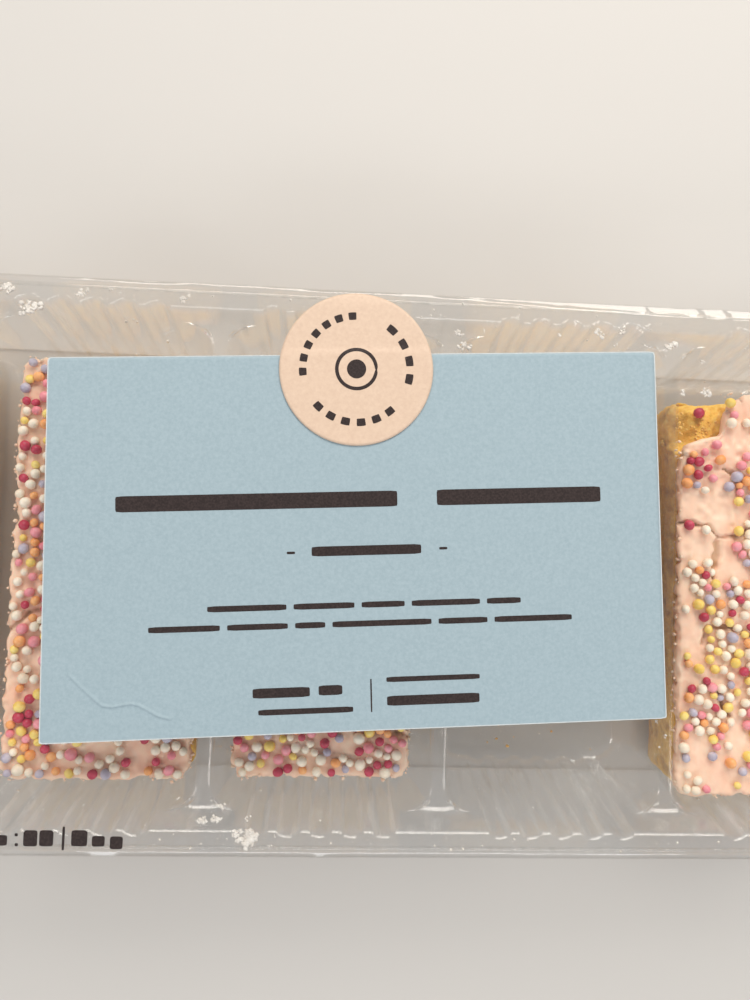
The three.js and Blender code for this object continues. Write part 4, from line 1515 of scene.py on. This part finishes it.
draw = np.random.default_rng(300)
ends = draw.choice([-1, 1], SPECKS)
share = draw.uniform(0, 1, SPECKS)
in_wells = draw.choice(wells, SPECKS) + draw.uniform(-17, 17, SPECKS)
wall_z = draw.uniform(4, RIM_Z - 1, SPECKS)
where = [share < ON_FLANGE, share < ON_FLANGE + ON_WALL]
speck_x = np.where(where[0], draw.uniform(-118, 118, SPECKS), in_wells)
on_flange, on_floor = draw.uniform(51, 54.2, SPECKS), draw.uniform(36, 43.5, SPECKS)
speck_y = np.select(where, [on_flange, wall_y(wall_z) - 0.1], on_floor)
speck_z = np.select(where, [np.full(SPECKS, RIM_Z + 0.08), wall_z], FLOOR_Z + 0.2)
specks = np.column_stack([speck_x, ends * speck_y, speck_z])
speck_sizes = (0.12 + 0.28 * draw.uniform(0, 1, (SPECKS, 1)) ** 2.5) * draw.uniform(0.5, 1, (SPECKS, 3))

heaps, heap_sizes = [], []
for px, py, length, count in HEAPS:
    middle = seen_at((px, py), RIM_Z + 0.15)
    lumps = LUMP_BITS * count
    heaps.append(middle + draw.normal(size=(lumps, 3)) * length * (0.25, 0.21, 0.0))
    heap_sizes.append(length / 2 * draw.uniform(0.12, 0.46, (lumps, 3)) * (1.25, 0.9, 0.55))
heaps, heap_sizes = np.concatenate(heaps), np.concatenate(heap_sizes)

flake_white = coloured("flake_white", {"Roughness": 0.6, "Specular IOR Level": 0.3}, (700,),
                       [(0.35, (0.68, 0.63, 0.57)), (0.7, (0.86, 0.82, 0.76))], (1800,), 0.5, 0.1)
large_points, large_faces = strew(ball_shape(2), heaps, heap_sizes, draw, 0.34, lying=True)
large_points[:, 2] = np.minimum(large_points[:, 2], RIM_Z + THICKEST)
small_points, small_faces = strew(ball_shape(1), specks, speck_sizes, draw, 0.3)
points, faces = gather([(large_points, large_faces), (small_points, small_faces)])
add_piece("icing_flakes", points, [faces], flake_white)

# %% Crumbs of icing and sponge
EDGE_CRUMBS = 260              # along each cake's icing
EDGE_STEP, EDGE_INSET = 0.62, 0.25
BARE_CRUMBS = 45               # on the sponge where the icing is gone
BARE_FROM, BARE_TO = (676, 410), (716, 440)       # corners of that place in picture pixels
SPONGE_CRUMBS = 70             # on the floors of the wells

crumbs, crumb_sizes = [], []
for number in range(CAKES):
    plan = ragged_plan(number, EDGE_STEP, EDGE_INSET, ICING_WAVER, ICING_LONGER[number], ICING_TORN)
    edge_x, edge_y = border(*plan)
    picks = draw.integers(0, len(edge_x), EDGE_CRUMBS)
    if number == BARE_CAKE:
        half_x, half_y = edge_x.max(), edge_y.max()
        picks = picks[np.maximum(edge_x[picks] + half_x, half_y - edge_y[picks]) > BARE_SIZE]
    count = len(picks)
    out = draw.uniform(-0.3, 0.45, count) * np.array(outward(edge_x, edge_y))[:, picks]
    height = draw.uniform(0.8, 3.1, count)
    places = np.column_stack([edge_x[picks] + out[0], edge_y[picks] + out[1], height])
    crumbs.append(stand_in_well(number, places, ICING_FOOT))
    size = 0.14 + 0.38 * draw.uniform(0, 1, (count, 1)) ** 2
    crumb_sizes.append(size * draw.uniform(0.6, 1, (count, 3)))
points, faces = strew(ball_shape(2), np.concatenate(crumbs), np.concatenate(crumb_sizes), draw, 0.3)
add_piece("icing_crumbs", points, [faces], icing_satin)

crumb_gold = coloured("crumb_gold", {"Roughness": 0.85, "Specular IOR Level": 0.2}, (900,),
                      [(0.35, (0.82, 0.450, 0.100)), (0.7, (0.93, 0.610, 0.210))], (2200,), 0.6, 0.15)
along = draw.uniform(-19, 19, SPONGE_CRUMBS) + draw.choice(wells, SPONGE_CRUMBS)
towards_end = draw.choice([-1, 1], SPONGE_CRUMBS) * draw.uniform(36, 44, SPONGE_CRUMBS)
on_floors = np.column_stack([along, towards_end, np.full(SPONGE_CRUMBS, FLOOR_Z + 0.3)])
floor_sizes = draw.uniform(0.15, 0.5, (SPONGE_CRUMBS, 1)) * draw.uniform(0.6, 1.0, (SPONGE_CRUMBS, 3))
pixels = [draw.uniform(low, high, BARE_CRUMBS) for low, high in zip(BARE_FROM, BARE_TO)]
on_sponge = seen_at(np.column_stack(pixels), SPONGE_FOOT + 16) - (0, 0, 0.12)
bare_sizes = draw.uniform(0.15, 0.5, (BARE_CRUMBS, 1)) * draw.uniform(0.6, 1.0, (BARE_CRUMBS, 3))
crumbs, crumb_sizes = np.concatenate([on_floors, on_sponge]), np.concatenate([floor_sizes, bare_sizes])
points, faces = strew(ball_shape(2), crumbs, crumb_sizes, draw, 0.34)
add_piece("sponge_crumbs", points, [faces], crumb_gold)

# %% [markdown]
# ## Print on the film
#
# Low at the left the film itself carries a row of plain dark blocks. They are patches of ink that
# lie on the film as the bars lie on the label.

# %% Film print
FILM_BLOCKS = [
    # middle as a picture pixel, length and height in mm
    (-34, 838.0, 5.0, 2.0), (-3, 840.5, 3.6, 2.0), (16, 835.0, 0.6, 0.6), (16, 845.0, 0.6, 0.6),
    (30, 838.6, 2.6, 3.0), (46, 838.6, 2.6, 3.0), (63, 838.8, 0.5, 4.4), (79, 838.6, 3.0, 3.0),
    (98, 841.6, 2.4, 2.0), (116, 843.2, 2.4, 2.4),
]


def film_surface(x, y):
    return FILM_TOP + film_relief(x, y) + 0.01


patches = [ink_patch(seen_at((px, py), FILM_TOP)[0], 0.0, length, height, film_surface)
           for px, py, length, height in FILM_BLOCKS]
points, faces = gather(patches)
add_piece("film_print", points, [faces], ink)
